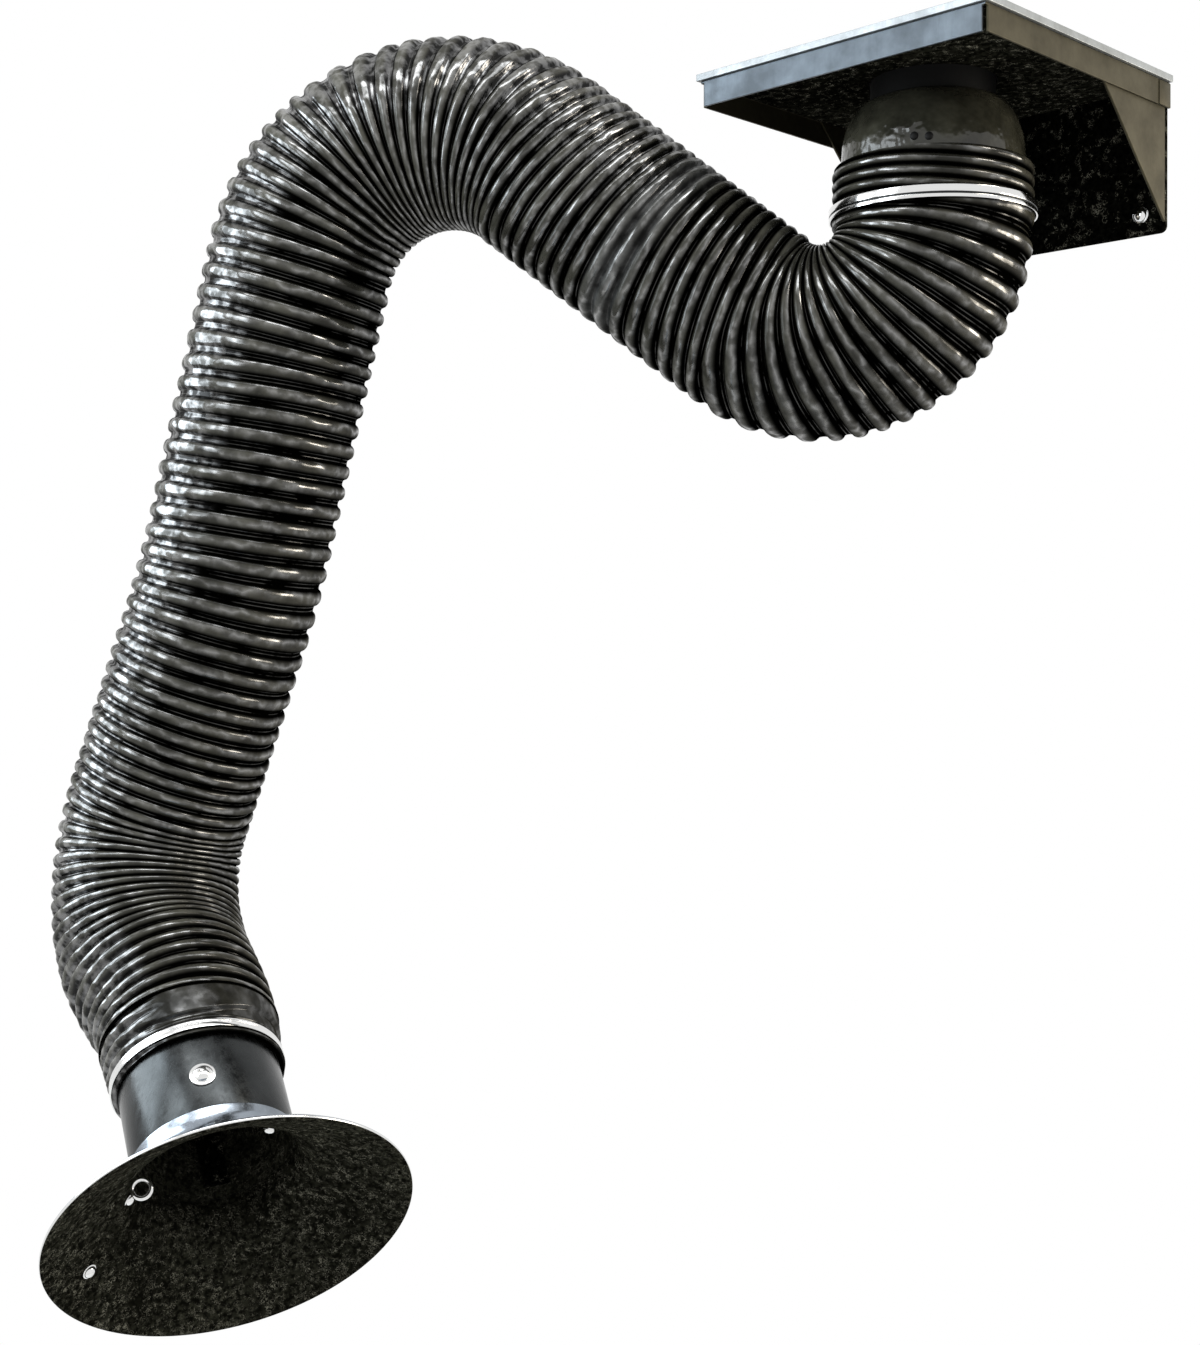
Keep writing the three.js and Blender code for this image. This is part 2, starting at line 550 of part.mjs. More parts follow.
// The height and slope of the dish's inner face at a radius, on the facet there
function dishSeat(radius) {
  const outer = radius + DISH_SHEET;
  const low = Math.floor((outer - COLLAR_RADIUS) / DISH_REACH * DISH_STEPS) / DISH_STEPS;
  const [[r0, z0], [r1, z1]] = [low, low + 1 / DISH_STEPS].map(dishWall);
  const slope = Math.atan2(z1 - z0, r1 - r0);
  return { slope, height: z0 + (outer - r0) * Math.tan(slope) + DISH_SHEET };
}

function buildDish() {
  const wall = Array.from({ length: DISH_STEPS + 1 }, (_, i) => dishWall(i / DISH_STEPS));
  const outside = [[COLLAR_RADIUS, COLLAR_END + GAP], ...wall];
  const inside = outside.map(([r, z], i) => [r - DISH_SHEET, i === 0 ? z : z + DISH_SHEET]);
  const lip = outside.pop();
  inside.pop();
  const roll = [-0.5, 0, 0.5, 1].map((turn) => [lip[0] + RIM_ROLL * Math.cos(turn * Math.PI / 2),
    lip[1] + RIM_ROLL * Math.sin(turn * Math.PI / 2)]);
  return turned([...outside, ...roll, ...inside.reverse(), outside[0]]);
}

// A cutter for the two collar screws' holes, through everything within a radius
const screwHoles = (radius) => bar(SCREW_SHANK + BORE_CLEARANCE, 'y', -radius - OVERCUT, radius + OVERCUT, 12)
  .translate(0, 0, COLLAR_SCREW);

function legs() {
  const near = WRIST_CHEEK_NEAR;
  const far = WRIST_CHEEK_FAR;
  const outer = COLLAR_BORE * Math.cos(Math.asin(LEG_WIDTH / 2 / COLLAR_BORE)) - 2 * GAP;
  const bridgeLow = WRIST_FORK_LENGTH;
  const sides = [-1, 1].map((side) => {
    const path = [[near, 0], [far, 0], [far, bridgeLow], [outer, LEG_BEND], [outer, LEG_END],
      [outer - LEG_SHEET, LEG_END], [outer - LEG_SHEET, LEG_BEND], [near, bridgeLow + LEG_SHEET]];
    const outline = new THREE.Shape(path.map(([across, along]) => new THREE.Vector2(side * across, along)));
    const strap = new THREE.ExtrudeGeometry(outline, { depth: LEG_WIDTH, bevelEnabled: false });
    // the outline's x becomes y and its y becomes z, with the strap's width along x
    strap.applyMatrix4(new THREE.Matrix4().makeBasis(
      new THREE.Vector3(0, 1, 0), new THREE.Vector3(0, 0, 1), new THREE.Vector3(1, 0, 0)));
    strap.translate(-LEG_WIDTH / 2, 0, 0);
    const [low, high] = [near, far].map((value) => value * side).sort((a, b) => a - b);
    return join(strap, bar(LEG_WIDTH / 2, 'y', low, high, 20));
  });
  const middle = (near + far) / 2;
  const bridge = block([-LEG_WIDTH / 2, -middle, bridgeLow - LEG_SHEET], [LEG_WIDTH / 2, middle, bridgeLow]);
  const pinHole = bar(PIN_HOLE, 'y', -far - OVERCUT, far + OVERCUT);
  return cut(join(bridge, ...sides), pinHole, screwHoles(outer));
}

function buildHood() {
  swivel.add(hood);
  node(hood, 'hood_collar', cut(ring(COLLAR_BORE, COLLAR_RADIUS, COLLAR_START, COLLAR_END),
    screwHoles(COLLAR_RADIUS)), gunmetal());
  node(hood, 'hood_dish', buildDish(), darkPlate());
  node(hood, 'hood_fork', legs(), plainSteel());

  for (const [name, sign] of [['collar_screw_near', 1], ['collar_screw_far', -1]]) {
    const reach = COLLAR_SHEET + LEG_SHEET + SCREW_END;
    const screw = join(domeScrew(SCREW_HEAD, SCREW_CROWN, SCREW_SHANK, reach),
      bar(SCREW_WASHER, 'z', 0, SCREW_WASHER_SHEET)).rotateX(-sign * Math.PI / 2);
    node(hood, name, screw.translate(0, sign * (COLLAR_RADIUS + GAP), COLLAR_SCREW), paleSteel());
  }

  const ribPitch = (CUFF_END - 2 * LOWER_CLAMP_WIDTH - CUFF_START) / CUFF_RIBS;
  const drawnIn = (ribs) => HOSE_VALLEY + (CUFF_RADIUS - HOSE_VALLEY) * ribs / CUFF_RIBS;
  const cuff = [[COLLAR_RADIUS + GAP, CUFF_START], [HOSE_VALLEY, CUFF_START]];
  for (let i = 0; i < CUFF_RIBS; i++) {
    cuff.push([drawnIn(i + 0.5) + RIB_HEIGHT, CUFF_START + (i + 0.5) * ribPitch]);
    cuff.push([drawnIn(i + 1), CUFF_START + (i + 1) * ribPitch]);
  }
  cuff.push([CUFF_RADIUS, CUFF_END], [COLLAR_RADIUS + GAP, CUFF_END]);
  node(hood, 'hose_cuff', turned([...cuff, cuff[0]]), blackVinyl());
  const lowerClamp = hoseClamp(CUFF_RADIUS + GAP, CUFF_END - LOWER_CLAMP_WIDTH, LOWER_CLAMP_WIDTH);
  node(hood, 'lower_clamp', lowerClamp, paleSteel());

  const onDish = (geometry, radius, degrees, lift) => {
    const { slope, height } = dishSeat(radius);
    return geometry.rotateY(-slope)
      .translate(radius - lift * Math.sin(slope), 0, height + lift * Math.cos(slope))
      .rotateZ(THREE.MathUtils.degToRad(degrees));
  };
  DOME_SCREWS.forEach(([radius, degrees], i) => {
    const head = domeScrew(DOME_SCREW_HEAD, DOME_SCREW_CROWN, SCREW_SHANK, GAP);
    node(hood, `dish_screw_${i + 1}`, onDish(head, radius, degrees, 3 * GAP), paleSteel());
  });
  const eyelet = new THREE.TorusGeometry(EYELET_RADIUS, EYELET_WIRE, 6, 16);
  node(hood, 'dish_eyelet', onDish(eyelet, ...EYELET_AT, EYELET_WIRE + 2 * GAP), paleSteel());
}

// Hose: two rings a rib outside, one ring every few ribs in the bore, and flat ends square to the route
const RIBS_PER_BORE_RING = 5;

// The route's straight runs and bends in order, each giving the middle, the way and a side at a distance
function bentRoute(start, corners, end) {
  const pieces = [];
  let from = start;
  let side = new THREE.Vector3(0, 1, 0);
  const addRun = (origin, way, to, across) => pieces.push({
    length: to.distanceTo(origin),
    at: (far) => ({ middle: origin.clone().addScaledVector(way, far), way, side: across }),
  });
  corners.forEach(({ at, radius }, i) => {
    const next = i + 1 < corners.length ? corners[i + 1].at : end;
    const before = at.clone().sub(from).normalize();
    const after = next.clone().sub(at).normalize();
    const turn = before.angleTo(after);
    const setback = radius * Math.tan(turn / 2);
    const bendStart = at.clone().addScaledVector(before, -setback);
    const inward = after.clone().addScaledVector(before, -after.dot(before)).normalize();
    const pole = new THREE.Vector3().crossVectors(before, inward);
    const across = side;
    addRun(from, before, bendStart, across);
    pieces.push({
      length: radius * turn,
      at: (far) => ({
        middle: bendStart.clone().addScaledVector(before, radius * Math.sin(far / radius))
          .addScaledVector(inward, radius * (1 - Math.cos(far / radius))),
        way: before.clone().applyAxisAngle(pole, far / radius),
        side: across.clone().applyAxisAngle(pole, far / radius),
      }),
    });
    side = across.clone().applyAxisAngle(pole, turn);
    from = at.clone().addScaledVector(after, setback);
  });
  addRun(from, end.clone().sub(from).normalize(), end, side);
  return pieces;
}

const route = bentRoute(HOSE_START, HOSE_CORNERS, HOSE_END);
const routeLength = route.reduce((sum, piece) => sum + piece.length, 0);

function routeAt(distance) {
  let left = distance;
  for (const piece of route.slice(0, -1)) {
    if (left <= piece.length) return piece.at(left);
    left -= piece.length;
  }
  return route.at(-1).at(left);
}

function ringPoints(distance, radius) {
  const { middle, way, side } = routeAt(distance);
  const across = new THREE.Vector3().crossVectors(way, side);
  return Array.from({ length: HOSE_SIDES }, (_, i) => {
    const angle = (2 * Math.PI * i) / HOSE_SIDES;
    return middle.clone().addScaledVector(side, radius * Math.cos(angle))
      .addScaledVector(across, radius * Math.sin(angle));
  });
}

function hoseStretch(from, to, ribs) {
  const pitch = (to - from) / ribs;
  const rings = [ringPoints(from, HOSE_VALLEY)];
  for (let i = 0; i < ribs; i++) {
    rings.push(ringPoints(from + (i + 0.5) * pitch, HOSE_CREST));
    rings.push(ringPoints(from + (i + 1) * pitch, HOSE_VALLEY));
  }
  const boreRings = Math.ceil(ribs / RIBS_PER_BORE_RING);
  for (let i = boreRings; i >= 0; i--) rings.push(ringPoints(from + (to - from) * i / boreRings, HOSE_BORE));
  const places = rings.flat().flatMap((point) => point.toArray());
  const faces = [];
  for (let i = 0; i < rings.length; i++) {
    const next = (i + 1) % rings.length;
    for (let k = 0; k < HOSE_SIDES; k++) {
      const turn = (k + 1) % HOSE_SIDES;
      const [a, b] = [i * HOSE_SIDES + k, i * HOSE_SIDES + turn];
      const [c, d] = [next * HOSE_SIDES + k, next * HOSE_SIDES + turn];
      faces.push(a, c, b, b, c, d);
    }
  }
  const geometry = new THREE.BufferGeometry();
  geometry.setAttribute('position', new THREE.Float32BufferAttribute(places, 3));
  geometry.setIndex(faces);
  return geometry;
}

function buildHose() {
  let from = 0;
  for (const [name, end, ribs] of HOSE_STRETCHES) {
    const to = Math.min(end, routeLength);
    node(swivel, name, hoseStretch(from + GAP / 2, to - GAP / 2, ribs), blackVinyl());
    from = to;
  }
}

buildBracket();
buildSwivel();
buildArms();
buildCross();
buildHood();
buildHose();

const arm = new THREE.Group();
arm.add(bracket, swivel);

export default arm;
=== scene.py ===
"""Fume extraction arm: a ribbed hose, eased sheet metal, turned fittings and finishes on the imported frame."""
import json
import math

import bmesh
import bpy
from bpy.props import FloatProperty, FloatVectorProperty, IntProperty, PointerProperty
from mathutils import Matrix, Quaternion, Vector, noise


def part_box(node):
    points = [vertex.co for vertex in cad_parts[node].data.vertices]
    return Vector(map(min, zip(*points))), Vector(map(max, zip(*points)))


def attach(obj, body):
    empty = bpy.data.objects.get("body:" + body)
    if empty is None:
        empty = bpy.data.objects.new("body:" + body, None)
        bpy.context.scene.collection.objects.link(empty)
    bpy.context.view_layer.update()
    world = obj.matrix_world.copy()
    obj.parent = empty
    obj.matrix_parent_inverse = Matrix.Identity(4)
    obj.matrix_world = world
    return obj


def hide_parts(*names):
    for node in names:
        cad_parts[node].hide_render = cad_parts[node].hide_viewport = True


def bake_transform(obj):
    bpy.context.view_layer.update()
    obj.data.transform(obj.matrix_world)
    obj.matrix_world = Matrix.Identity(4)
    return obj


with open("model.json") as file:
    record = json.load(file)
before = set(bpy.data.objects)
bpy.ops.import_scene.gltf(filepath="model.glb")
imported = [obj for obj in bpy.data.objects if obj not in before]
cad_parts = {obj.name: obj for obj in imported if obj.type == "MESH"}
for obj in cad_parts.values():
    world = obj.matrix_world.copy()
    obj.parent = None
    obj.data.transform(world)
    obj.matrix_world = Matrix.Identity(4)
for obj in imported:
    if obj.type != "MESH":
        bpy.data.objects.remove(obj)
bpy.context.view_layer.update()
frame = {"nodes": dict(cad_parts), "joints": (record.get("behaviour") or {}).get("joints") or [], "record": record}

bl_info = {
    "name": "Fume extraction arm",
    "version": (1, 0, 0),
    "blender": (4, 5, 0),
    "location": "3D View > Sidebar > Extraction arm",
    "description": "Builds the hose, sheet metal, hood and finishes of a wall-hung extraction arm",
    "category": "Object",
}

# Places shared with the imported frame, in metres
JOINTS = {joint["name"]: joint for joint in frame["joints"]}
SWIVEL_AT = Vector(JOINTS["swivel_turn"]["pos_m"])
ARM_HEADING = math.radians(211.6)
SWIVEL = Matrix.Translation(SWIVEL_AT) @ Matrix.Rotation(ARM_HEADING, 4, "Z")
WRIST = SWIVEL.inverted() @ Vector(JOINTS["wrist_tilt"]["pos_m"])
TILT_PIN = SWIVEL.to_3x3().inverted() @ Vector(JOINTS["wrist_tilt"]["axis"])
HOOD_AIM = Vector((-0.46198, 0.59559, -0.65715)).normalized()
HOOD_TURN = Matrix((TILT_PIN.cross(HOOD_AIM), TILT_PIN, HOOD_AIM)).transposed().to_4x4()
# The hood's frame: z runs from the wrist to the mouth, and y along the tilt pin
HOOD = SWIVEL @ Matrix.Translation(WRIST) @ HOOD_TURN

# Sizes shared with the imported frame
GAP = 0.0003
DUCT_RADIUS = 0.080
DUCT_SHEET = 0.002
FLANGE_THICKNESS = 0.003
NECK_RADIUS = 0.054
HOSE_BORE = 0.0803
HOSE_CREST = 0.088
CLAMP_SHEET = 0.0014
CLAMP_HOUSING = 0.018
CLAMP_HOUSING_DEPTH = 0.008
CLAMP_SCREW = 0.0032
LOWER_CLAMP_WIDTH = 0.008

# Sizes of the hood and the hose's end on it; places are measured along the hood's axis from the wrist
CUFF_START = 0.176
CUFF_END = 0.225
COLLAR_START = 0.192
COLLAR_SCREW = 0.266
COLLAR_END = 0.298
THROAT_AT = 0.318
RIM_AT = 0.376
COLLAR_RADIUS = 0.0705
CUFF_WALL = 0.0042
CUFF_RADIUS = COLLAR_RADIUS + GAP + CUFF_WALL
CUFF_TAPER = 0.0070
SHEET = 0.0015
RIM_RADIUS = 0.1536
RIM_ROLL = 0.0022
DISH_FLARE = 0.85
DOME_SCREWS = ((0.076, 55), (0.076, 174), (0.1215, 196))  # radius and degrees round the dish
EYELET_AT = (0.080, 151)
EYELET_RADIUS = 0.0078
EYELET_WIRE = 0.0021


def on_hood_axis(along):
    """A place on the hood's axis, in the swivel's frame."""
    return WRIST + HOOD_AIM * along


# The hose's middle line in the swivel's frame: straight runs, bent round at each corner with its own radius
HOSE_START = Vector((0, 0, -0.132))
HOSE_CORNERS = (
    (Vector((0, 0, -0.3318)), 0.097),
    (Vector((0.5326, 0, 0.0833)), 0.1468),
    (Vector((0.6573, 0, -0.440)), 0.900),
    (Vector((0.7633, 0, -0.7515)), 0.1404),
    (on_hood_axis(CUFF_START - 0.024), 0.200),
)
HOSE_END = on_hood_axis(CUFF_START)

# Spacing of the hose's ribs along the middle line: (distance, pitch)
RIB_PITCH = (
    (-0.020, 0.0098), (0.000, 0.0155), (0.090, 0.0160), (0.130, 0.0142), (0.250, 0.0138), (0.320, 0.0145),
    (0.400, 0.0136), (0.470, 0.0128), (0.650, 0.0130), (0.760, 0.0186), (0.880, 0.0200), (1.020, 0.0200),
    (1.130, 0.0184), (1.230, 0.0138), (1.310, 0.0120), (1.370, 0.0132), (1.450, 0.0142), (1.550, 0.0118),
)

# How far along the hose its ribs lean from the lower or right side of the arm to the other: (distance, lean)
RIB_LEAN = (
    (-0.050, -0.013), (0.010, -0.022), (0.040, -0.008), (0.060, 0.002), (0.100, 0.027), (0.150, 0.050),
    (0.200, 0.045), (0.250, 0.035), (0.290, 0.014), (0.360, -0.017), (0.420, -0.030), (0.500, -0.030),
    (0.600, -0.006), (0.650, 0.026), (0.700, 0.012), (0.770, -0.018), (0.830, -0.010), (0.870, 0.004),
    (1.050, 0.005), (1.170, -0.009), (1.230, -0.015), (1.350, -0.002), (1.450, -0.030), (1.553, -0.006),
)

# Each stretch of hose: the node it stands for, where it ends, and the bodies it joins
HOSE_STRETCHES = (
    ("hose_top", 0.0, ("swivel",)),
    ("hose_shoulder_bend", 0.262, ("swivel", "inner_arm")),
    ("hose_inner_run", 0.440, ("inner_arm",)),
    ("hose_elbow_bend", 0.800, ("inner_arm", "outer_arm")),
    ("hose_outer_run", 1.228, ("outer_arm",)),
    ("hose_wrist_upper", 1.388, ("outer_arm", "wrist")),
    ("hose_wrist_lower", None, ("wrist", "hood")),
    ("hose_cuff", CUFF_END - CUFF_START, ("hood",)),
)

# The side of a stretch that its joint's long travel squeezes, in the swivel's frame, and the lengths in which
# its bend starts and ends
SQUEEZED_SIDES = {
    "hose_wrist_upper": (Vector((0, -1, 0)), 0.100, 0.001),
    "hose_wrist_lower": (Vector((0.86, 0.48, -0.17)), 0.001, 0.016),
}


class ArmSizes(bpy.types.PropertyGroup):
    """Sizes of the pieces that are made here."""

    hose_valley: FloatProperty(name="Hose valley radius", description="Radius between the ribs",
                               default=0.0828, min=0.081, unit="LENGTH")
    rib_height: FloatProperty(name="Rib height", description="How far a rib stands out of the hose",
                              default=0.0041, min=0.001, unit="LENGTH")
    rib_width: FloatProperty(name="Rib width", description="Width of a rib on a hose pushed fully together",
                             default=0.0030, min=0.002, unit="LENGTH")
    rib_stretch: FloatProperty(name="Rib stretch", description="Share of a longer pitch that widens the rib",
                               default=0.52, min=0.0, max=0.9)
    lump: FloatProperty(name="Lumps", description="Height of the uneven places on the hose",
                        default=0.0007, min=0.0, unit="LENGTH")
    hose_sides: IntProperty(name="Hose sides", description="Faces round the hose", default=176, min=24)
    rib_steps: IntProperty(name="Rib steps", description="Rings of faces along one rib", default=16, min=4)
    turn_steps: IntProperty(name="Turned steps", description="Faces round a turned piece", default=96, min=24)
    eased_edge: FloatProperty(name="Eased edge", description="Width of the easing on sheet metal edges",
                              default=0.0007, min=0.0001, unit="LENGTH")


def colour_property(name, description, default):
    return FloatVectorProperty(name=name, description=description, subtype="COLOR", size=3, default=default)


class ArmFinishes(bpy.types.PropertyGroup):
    """Colours of the finishes."""

    vinyl: colour_property("Hose vinyl", "Colour of the hose's ribs", (0.030, 0.029, 0.023))
    dust: colour_property("Hose dust", "Colour of a pale worn place on the hose", (0.105, 0.106, 0.104))
    galvanised: colour_property("Galvanised sheet", "Colour of the tray's front", (0.088, 0.104, 0.120))
    plate: colour_property("Top plate", "Colour of the bracket's top plate", (0.33, 0.35, 0.36))
    # On the tray's side lips this darker, warmer colour is painted warm light and shade
    gusset: colour_property("Gusset", "Colour of the gussets and the tray's sides", (0.056, 0.049, 0.029))
    coat: colour_property("Granular coat", "Colour of the dark coat", (0.0210, 0.0212, 0.0150))
    # The wall plate's coat is the dark coat made much darker: painted shade under the tray
    plate_coat: colour_property("Plate coat", "Colour of the wall plate's coat", (0.0046, 0.0046, 0.0036))
    fleck: colour_property("Coat flecks", "Colour of the coat's pale flecks", (0.170, 0.165, 0.130))
    bell: colour_property("Bell enamel", "Colour of the swivel bell", (0.036, 0.035, 0.025))
    collar: colour_property("Collar steel", "Colour of the hood's collar", (0.043, 0.046, 0.047))
    neck: colour_property("Neck steel", "Colour of the dish's outside", (0.34, 0.38, 0.43))
    bright: colour_property("Bright steel", "Colour of the clamps and screws", (0.78, 0.78, 0.76))
    plain: colour_property("Plain steel", "Colour of the support tubes", (0.45, 0.45, 0.46))


# Shader groups and materials


def add_node(tree, kind, **values):
    """A node with its properties set; a name that starts with 'in_' sets the input of that name instead."""
    node = tree.nodes.new(kind)
    for name, value in values.items():
        if name.startswith("in_"):
            node.inputs[name[3:].replace("_", " ")].default_value = value
        else:
            setattr(node, name, value)
    return node


def start_group(name, inputs, outputs):
    """An empty shader group with float inputs (name, default) and float outputs."""
    group = bpy.data.node_groups.new(name, "ShaderNodeTree")
    for label, default in inputs:
        socket = group.interface.new_socket(label, in_out="INPUT", socket_type="NodeSocketFloat")
        socket.default_value = default
    for label in outputs:
        group.interface.new_socket(label, in_out="OUTPUT", socket_type="NodeSocketFloat")
    return group, group.nodes.new("NodeGroupInput"), group.nodes.new("NodeGroupOutput")


def combine(tree, operation, first, second):
    """The result of a maths node on two sockets, or on a socket and a number."""
    node = add_node(tree, "ShaderNodeMath", operation=operation)
    for socket, value in zip(node.inputs, (first, second)):
        if isinstance(value, bpy.types.NodeSocket):
            tree.links.new(value, socket)
        else:
            socket.default_value = value
    return node.outputs["Value"]


def ranged(tree, source, low, high, start=0.0, end=1.0):
    """A value taken from one range to another."""
    node = add_node(tree, "ShaderNodeMapRange", in_From_Min=start, in_From_Max=end,
                    in_To_Min=low, in_To_Max=high)
    tree.links.new(source, node.inputs["Value"])
    return node.outputs["Result"]


def noise_at(tree, place, scale, **values):
    """The value of a noise texture; its scale is a number or a socket."""
    node = add_node(tree, "ShaderNodeTexNoise", **values)
    tree.links.new(place, node.inputs["Vector"])
    if isinstance(scale, bpy.types.NodeSocket):
        tree.links.new(scale, node.inputs["Scale"])
    else:
        node.inputs["Scale"].default_value = scale
    return node.outputs["Fac"]


def patina_group():
    """Soft blotches and fine grain, for finishes that handling has changed."""
    scales = [("Blotch Scale", 14.0), ("Grain Scale", 420.0)]
    group, given, result = start_group("Patina", scales, ["Blotch", "Grain"])
    place = add_node(group, "ShaderNodeTexCoord").outputs["Object"]
    blotch = noise_at(group, place, given.outputs["Blotch Scale"], in_Detail=4.0, in_Roughness=0.62)
    grain = noise_at(group, place, given.outputs["Grain Scale"], in_Detail=2.0, in_Roughness=0.6)
    group.links.new(blotch, result.inputs["Blotch"])
    group.links.new(grain, result.inputs["Grain"])
    return group


def worm_group():
    """Short curled pale threads in a dark coat, denser in some places than in others."""
    group, given, result = start_group("Worms", [("Scale", 300.0), ("Cover", 0.5)], ["Worm", "Height"])
    place = add_node(group, "ShaderNodeTexCoord").outputs["Object"]
    field = noise_at(group, place, given.outputs["Scale"], in_Detail=1.5, in_Roughness=0.5, in_Distortion=1.4)
    away = combine(group, "ABSOLUTE", combine(group, "SUBTRACT", field, 0.5), 0.0)
    thread = ranged(group, away, 1.0, 0.0, 0.0, 0.045)
    cuts = noise_at(group, place, combine(group, "MULTIPLY", given.outputs["Scale"], 0.55), in_Detail=2.0)
    kept = ranged(group, combine(group, "ADD", cuts, given.outputs["Cover"]), 0.0, 1.0, 0.95, 1.10)
    crowd = noise_at(group, place, 46.0, in_Detail=4.0, in_Roughness=0.7)
    cluster = ranged(group, crowd, 0.25, 1.0, 0.38, 0.62)
    worm = combine(group, "MULTIPLY", combine(group, "MULTIPLY", thread, kept), cluster)
    group.links.new(worm, result.inputs["Worm"])
    group.links.new(field, result.inputs["Height"])
    return group


def scratch_group():
    """Long fine lines along the object's height, for brushed and handled metal."""
    group, given, result = start_group("Scratches", [("Scale", 60.0), ("Stretch", 0.04)], ["Line"])
    place = add_node(group, "ShaderNodeTexCoord")
    squeeze = add_node(group, "ShaderNodeCombineXYZ", in_X=1.0, in_Y=1.0)
    shrink = add_node(group, "ShaderNodeVectorMath", operation="MULTIPLY")
    group.links.new(given.outputs["Stretch"], squeeze.inputs["Z"])
    group.links.new(place.outputs["Object"], shrink.inputs[0])
    group.links.new(squeeze.outputs["Vector"], shrink.inputs[1])
    line = noise_at(group, shrink.outputs["Vector"], given.outputs["Scale"], in_Detail=6.0, in_Roughness=0.75)
    group.links.new(line, result.inputs["Line"])
    return group


class Finish:
    """One material under construction: its tree, its Principled shader and short links into them."""

    def __init__(self, name, **constants):
        self.material = bpy.data.materials.new(name)
        self.material.use_nodes = True
        self.tree = self.material.node_tree
        self.shader = self.tree.nodes["Principled BSDF"]
        for label, value in constants.items():
            self.shader.inputs[label.replace("_", " ")].default_value = value

    def add(self, kind, **values):
        return add_node(self.tree, kind, **values)

    def link(self, source, target):
        self.tree.links.new(source, target)

    def group(self, tree, **values):
        node = self.add("ShaderNodeGroup", node_tree=tree)
        for label, value in values.items():
            node.inputs[label.replace("_", " ")].default_value = value
        return node.outputs

    def times(self, first, second):
        return combine(self.tree, "MULTIPLY", first, second)

    def spread(self, source, low, high, start=0.0, end=1.0):
        return ranged(self.tree, source, low, high, start, end)

    def mix(self, factor, first, second):
        """A colour between two; each is a colour or a socket."""
        node = self.add("ShaderNodeMix", data_type="RGBA")
        self.link(factor, node.inputs["Factor"])
        for socket, value in ((node.inputs[6], first), (node.inputs[7], second)):
            if isinstance(value, bpy.types.NodeSocket):
                self.link(value, socket)
            else:
                socket.default_value = (*value, 1.0)
        return node.outputs[2]

    def bump(self, height, strength, distance):
        node = self.add("ShaderNodeBump", in_Strength=strength, in_Distance=distance)
        self.link(height, node.inputs["Height"])
        self.link(node.outputs["Normal"], self.shader.inputs["Normal"])

    def stored(self, name):
        """A value stored on the mesh's vertices."""
        return self.add("ShaderNodeAttribute", attribute_name=name, attribute_type="GEOMETRY").outputs["Fac"]

    def feed(self, label, source):
        self.link(source, self.shader.inputs[label])


def shade(colour, amount):
    """A colour made darker or paler."""
    return tuple(max(0.0, channel * amount) for channel in colour)


def make_vinyl(colours, patina):
    """Vinyl with a shining streak along each rib, dull in the grooves; its colour falls to nearly black at the
    rib's edges and in the grooves, which is painted shade in the hollows.
    """
    finish = Finish("hose_vinyl", Specular_IOR_Level=0.0, Coat_IOR=2.5, Coat_Roughness=0.16)
    tree, times, spread, vinyl = finish.tree, finish.times, finish.spread, colours.vinyl
    marks = finish.group(patina, Blotch_Scale=30.0, Grain_Scale=240.0)
    where = finish.add("ShaderNodeTexCoord").outputs["Object"]
    patches = noise_at(tree, where, 95.0, in_Detail=3.0)
    drift = noise_at(tree, where, 40.0)
    crest, worn_side, dusty = (finish.stored(name) for name in ("crest", "handled", "dust"))
    place = finish.add("ShaderNodeSeparateXYZ")
    finish.link(finish.add("ShaderNodeUVMap", uv_map="ribs").outputs["UV"], place.inputs["Vector"])
    count, ratio = place.outputs["X"], place.outputs["Y"]

    # Across a rib: 0 on its crest, 1 at its edges, and more in the groove
    share = combine(tree, "SUBTRACT", combine(tree, "FRACT", count, 0.0), 0.5)
    across = times(times(share, 2.0), ratio)
    away = combine(tree, "ABSOLUTE", across, 0.0)
    rib = spread(crest, 0.0, 1.0, 0.25, 0.80)
    # The rib's body mask also darkens the colour towards the rib's edges: painted shade on the rib's flanks
    body = times(rib, spread(away, 1.0, 0.0, 0.40, 1.0))

    # A streak that wanders along the rib and breaks into dashes, and the gloss of the handled side
    off = combine(tree, "ADD", across, spread(drift, -0.20, 0.55, 0.35, 0.65))
    core = spread(combine(tree, "ABSOLUTE", off, 0.0), 1.0, 0.0, 0.0, 0.85)
    streak = times(times(core, core), rib)
    dashes = times(streak, spread(patches, 0.30, 1.0, 0.42, 0.60))
    gloss = times(worn_side, spread(patches, 0.10, 0.90, 0.42, 0.64))

    # Pale lines on the pleat tops in the groove, painted light on the folds, and the dusty ring
    wave = combine(tree, "SINE", times(count, 12 * math.pi), 0.0)
    pleat = times(spread(wave, 0.0, 1.0, 0.55, 1.0), spread(away, 0.0, 1.0, 1.0, 1.15))
    thread = times(pleat, spread(marks["Blotch"], 0.0, 1.0, 0.42, 0.60))
    dust = times(dusty, spread(marks["Blotch"], 0.2, 0.8, 0.40, 0.62))

    mottle = spread(marks["Blotch"], 0.0, 1.0, 0.40, 0.68)
    worn = finish.mix(mottle, shade(vinyl, 0.8), shade(vinyl, 2.2))
    # Colour from the crest down to nearly black at the rib's edges and in the groove: painted shade between the
    # ribs
    ribbed = finish.mix(body, shade(vinyl, 0.02), worn)
    # The pleat tops take the rib's colour instead of the groove's painted shade: painted light on the folds
    pleat_lit = finish.mix(thread, ribbed, shade(vinyl, 0.8))
    finish.feed("Base Color", finish.mix(dust, pleat_lit, colours.dust))
    finish.feed("Roughness", spread(marks["Grain"], 0.34, 0.56, 0.35, 0.65))
    faint = combine(tree, "ADD", times(body, 0.07), times(thread, 0.25))
    finish.feed("Coat Weight", combine(tree, "ADD", faint, combine(tree, "MAXIMUM", dashes, gloss)))
    finish.bump(marks["Grain"], 0.3, 0.0014)
    return finish.material


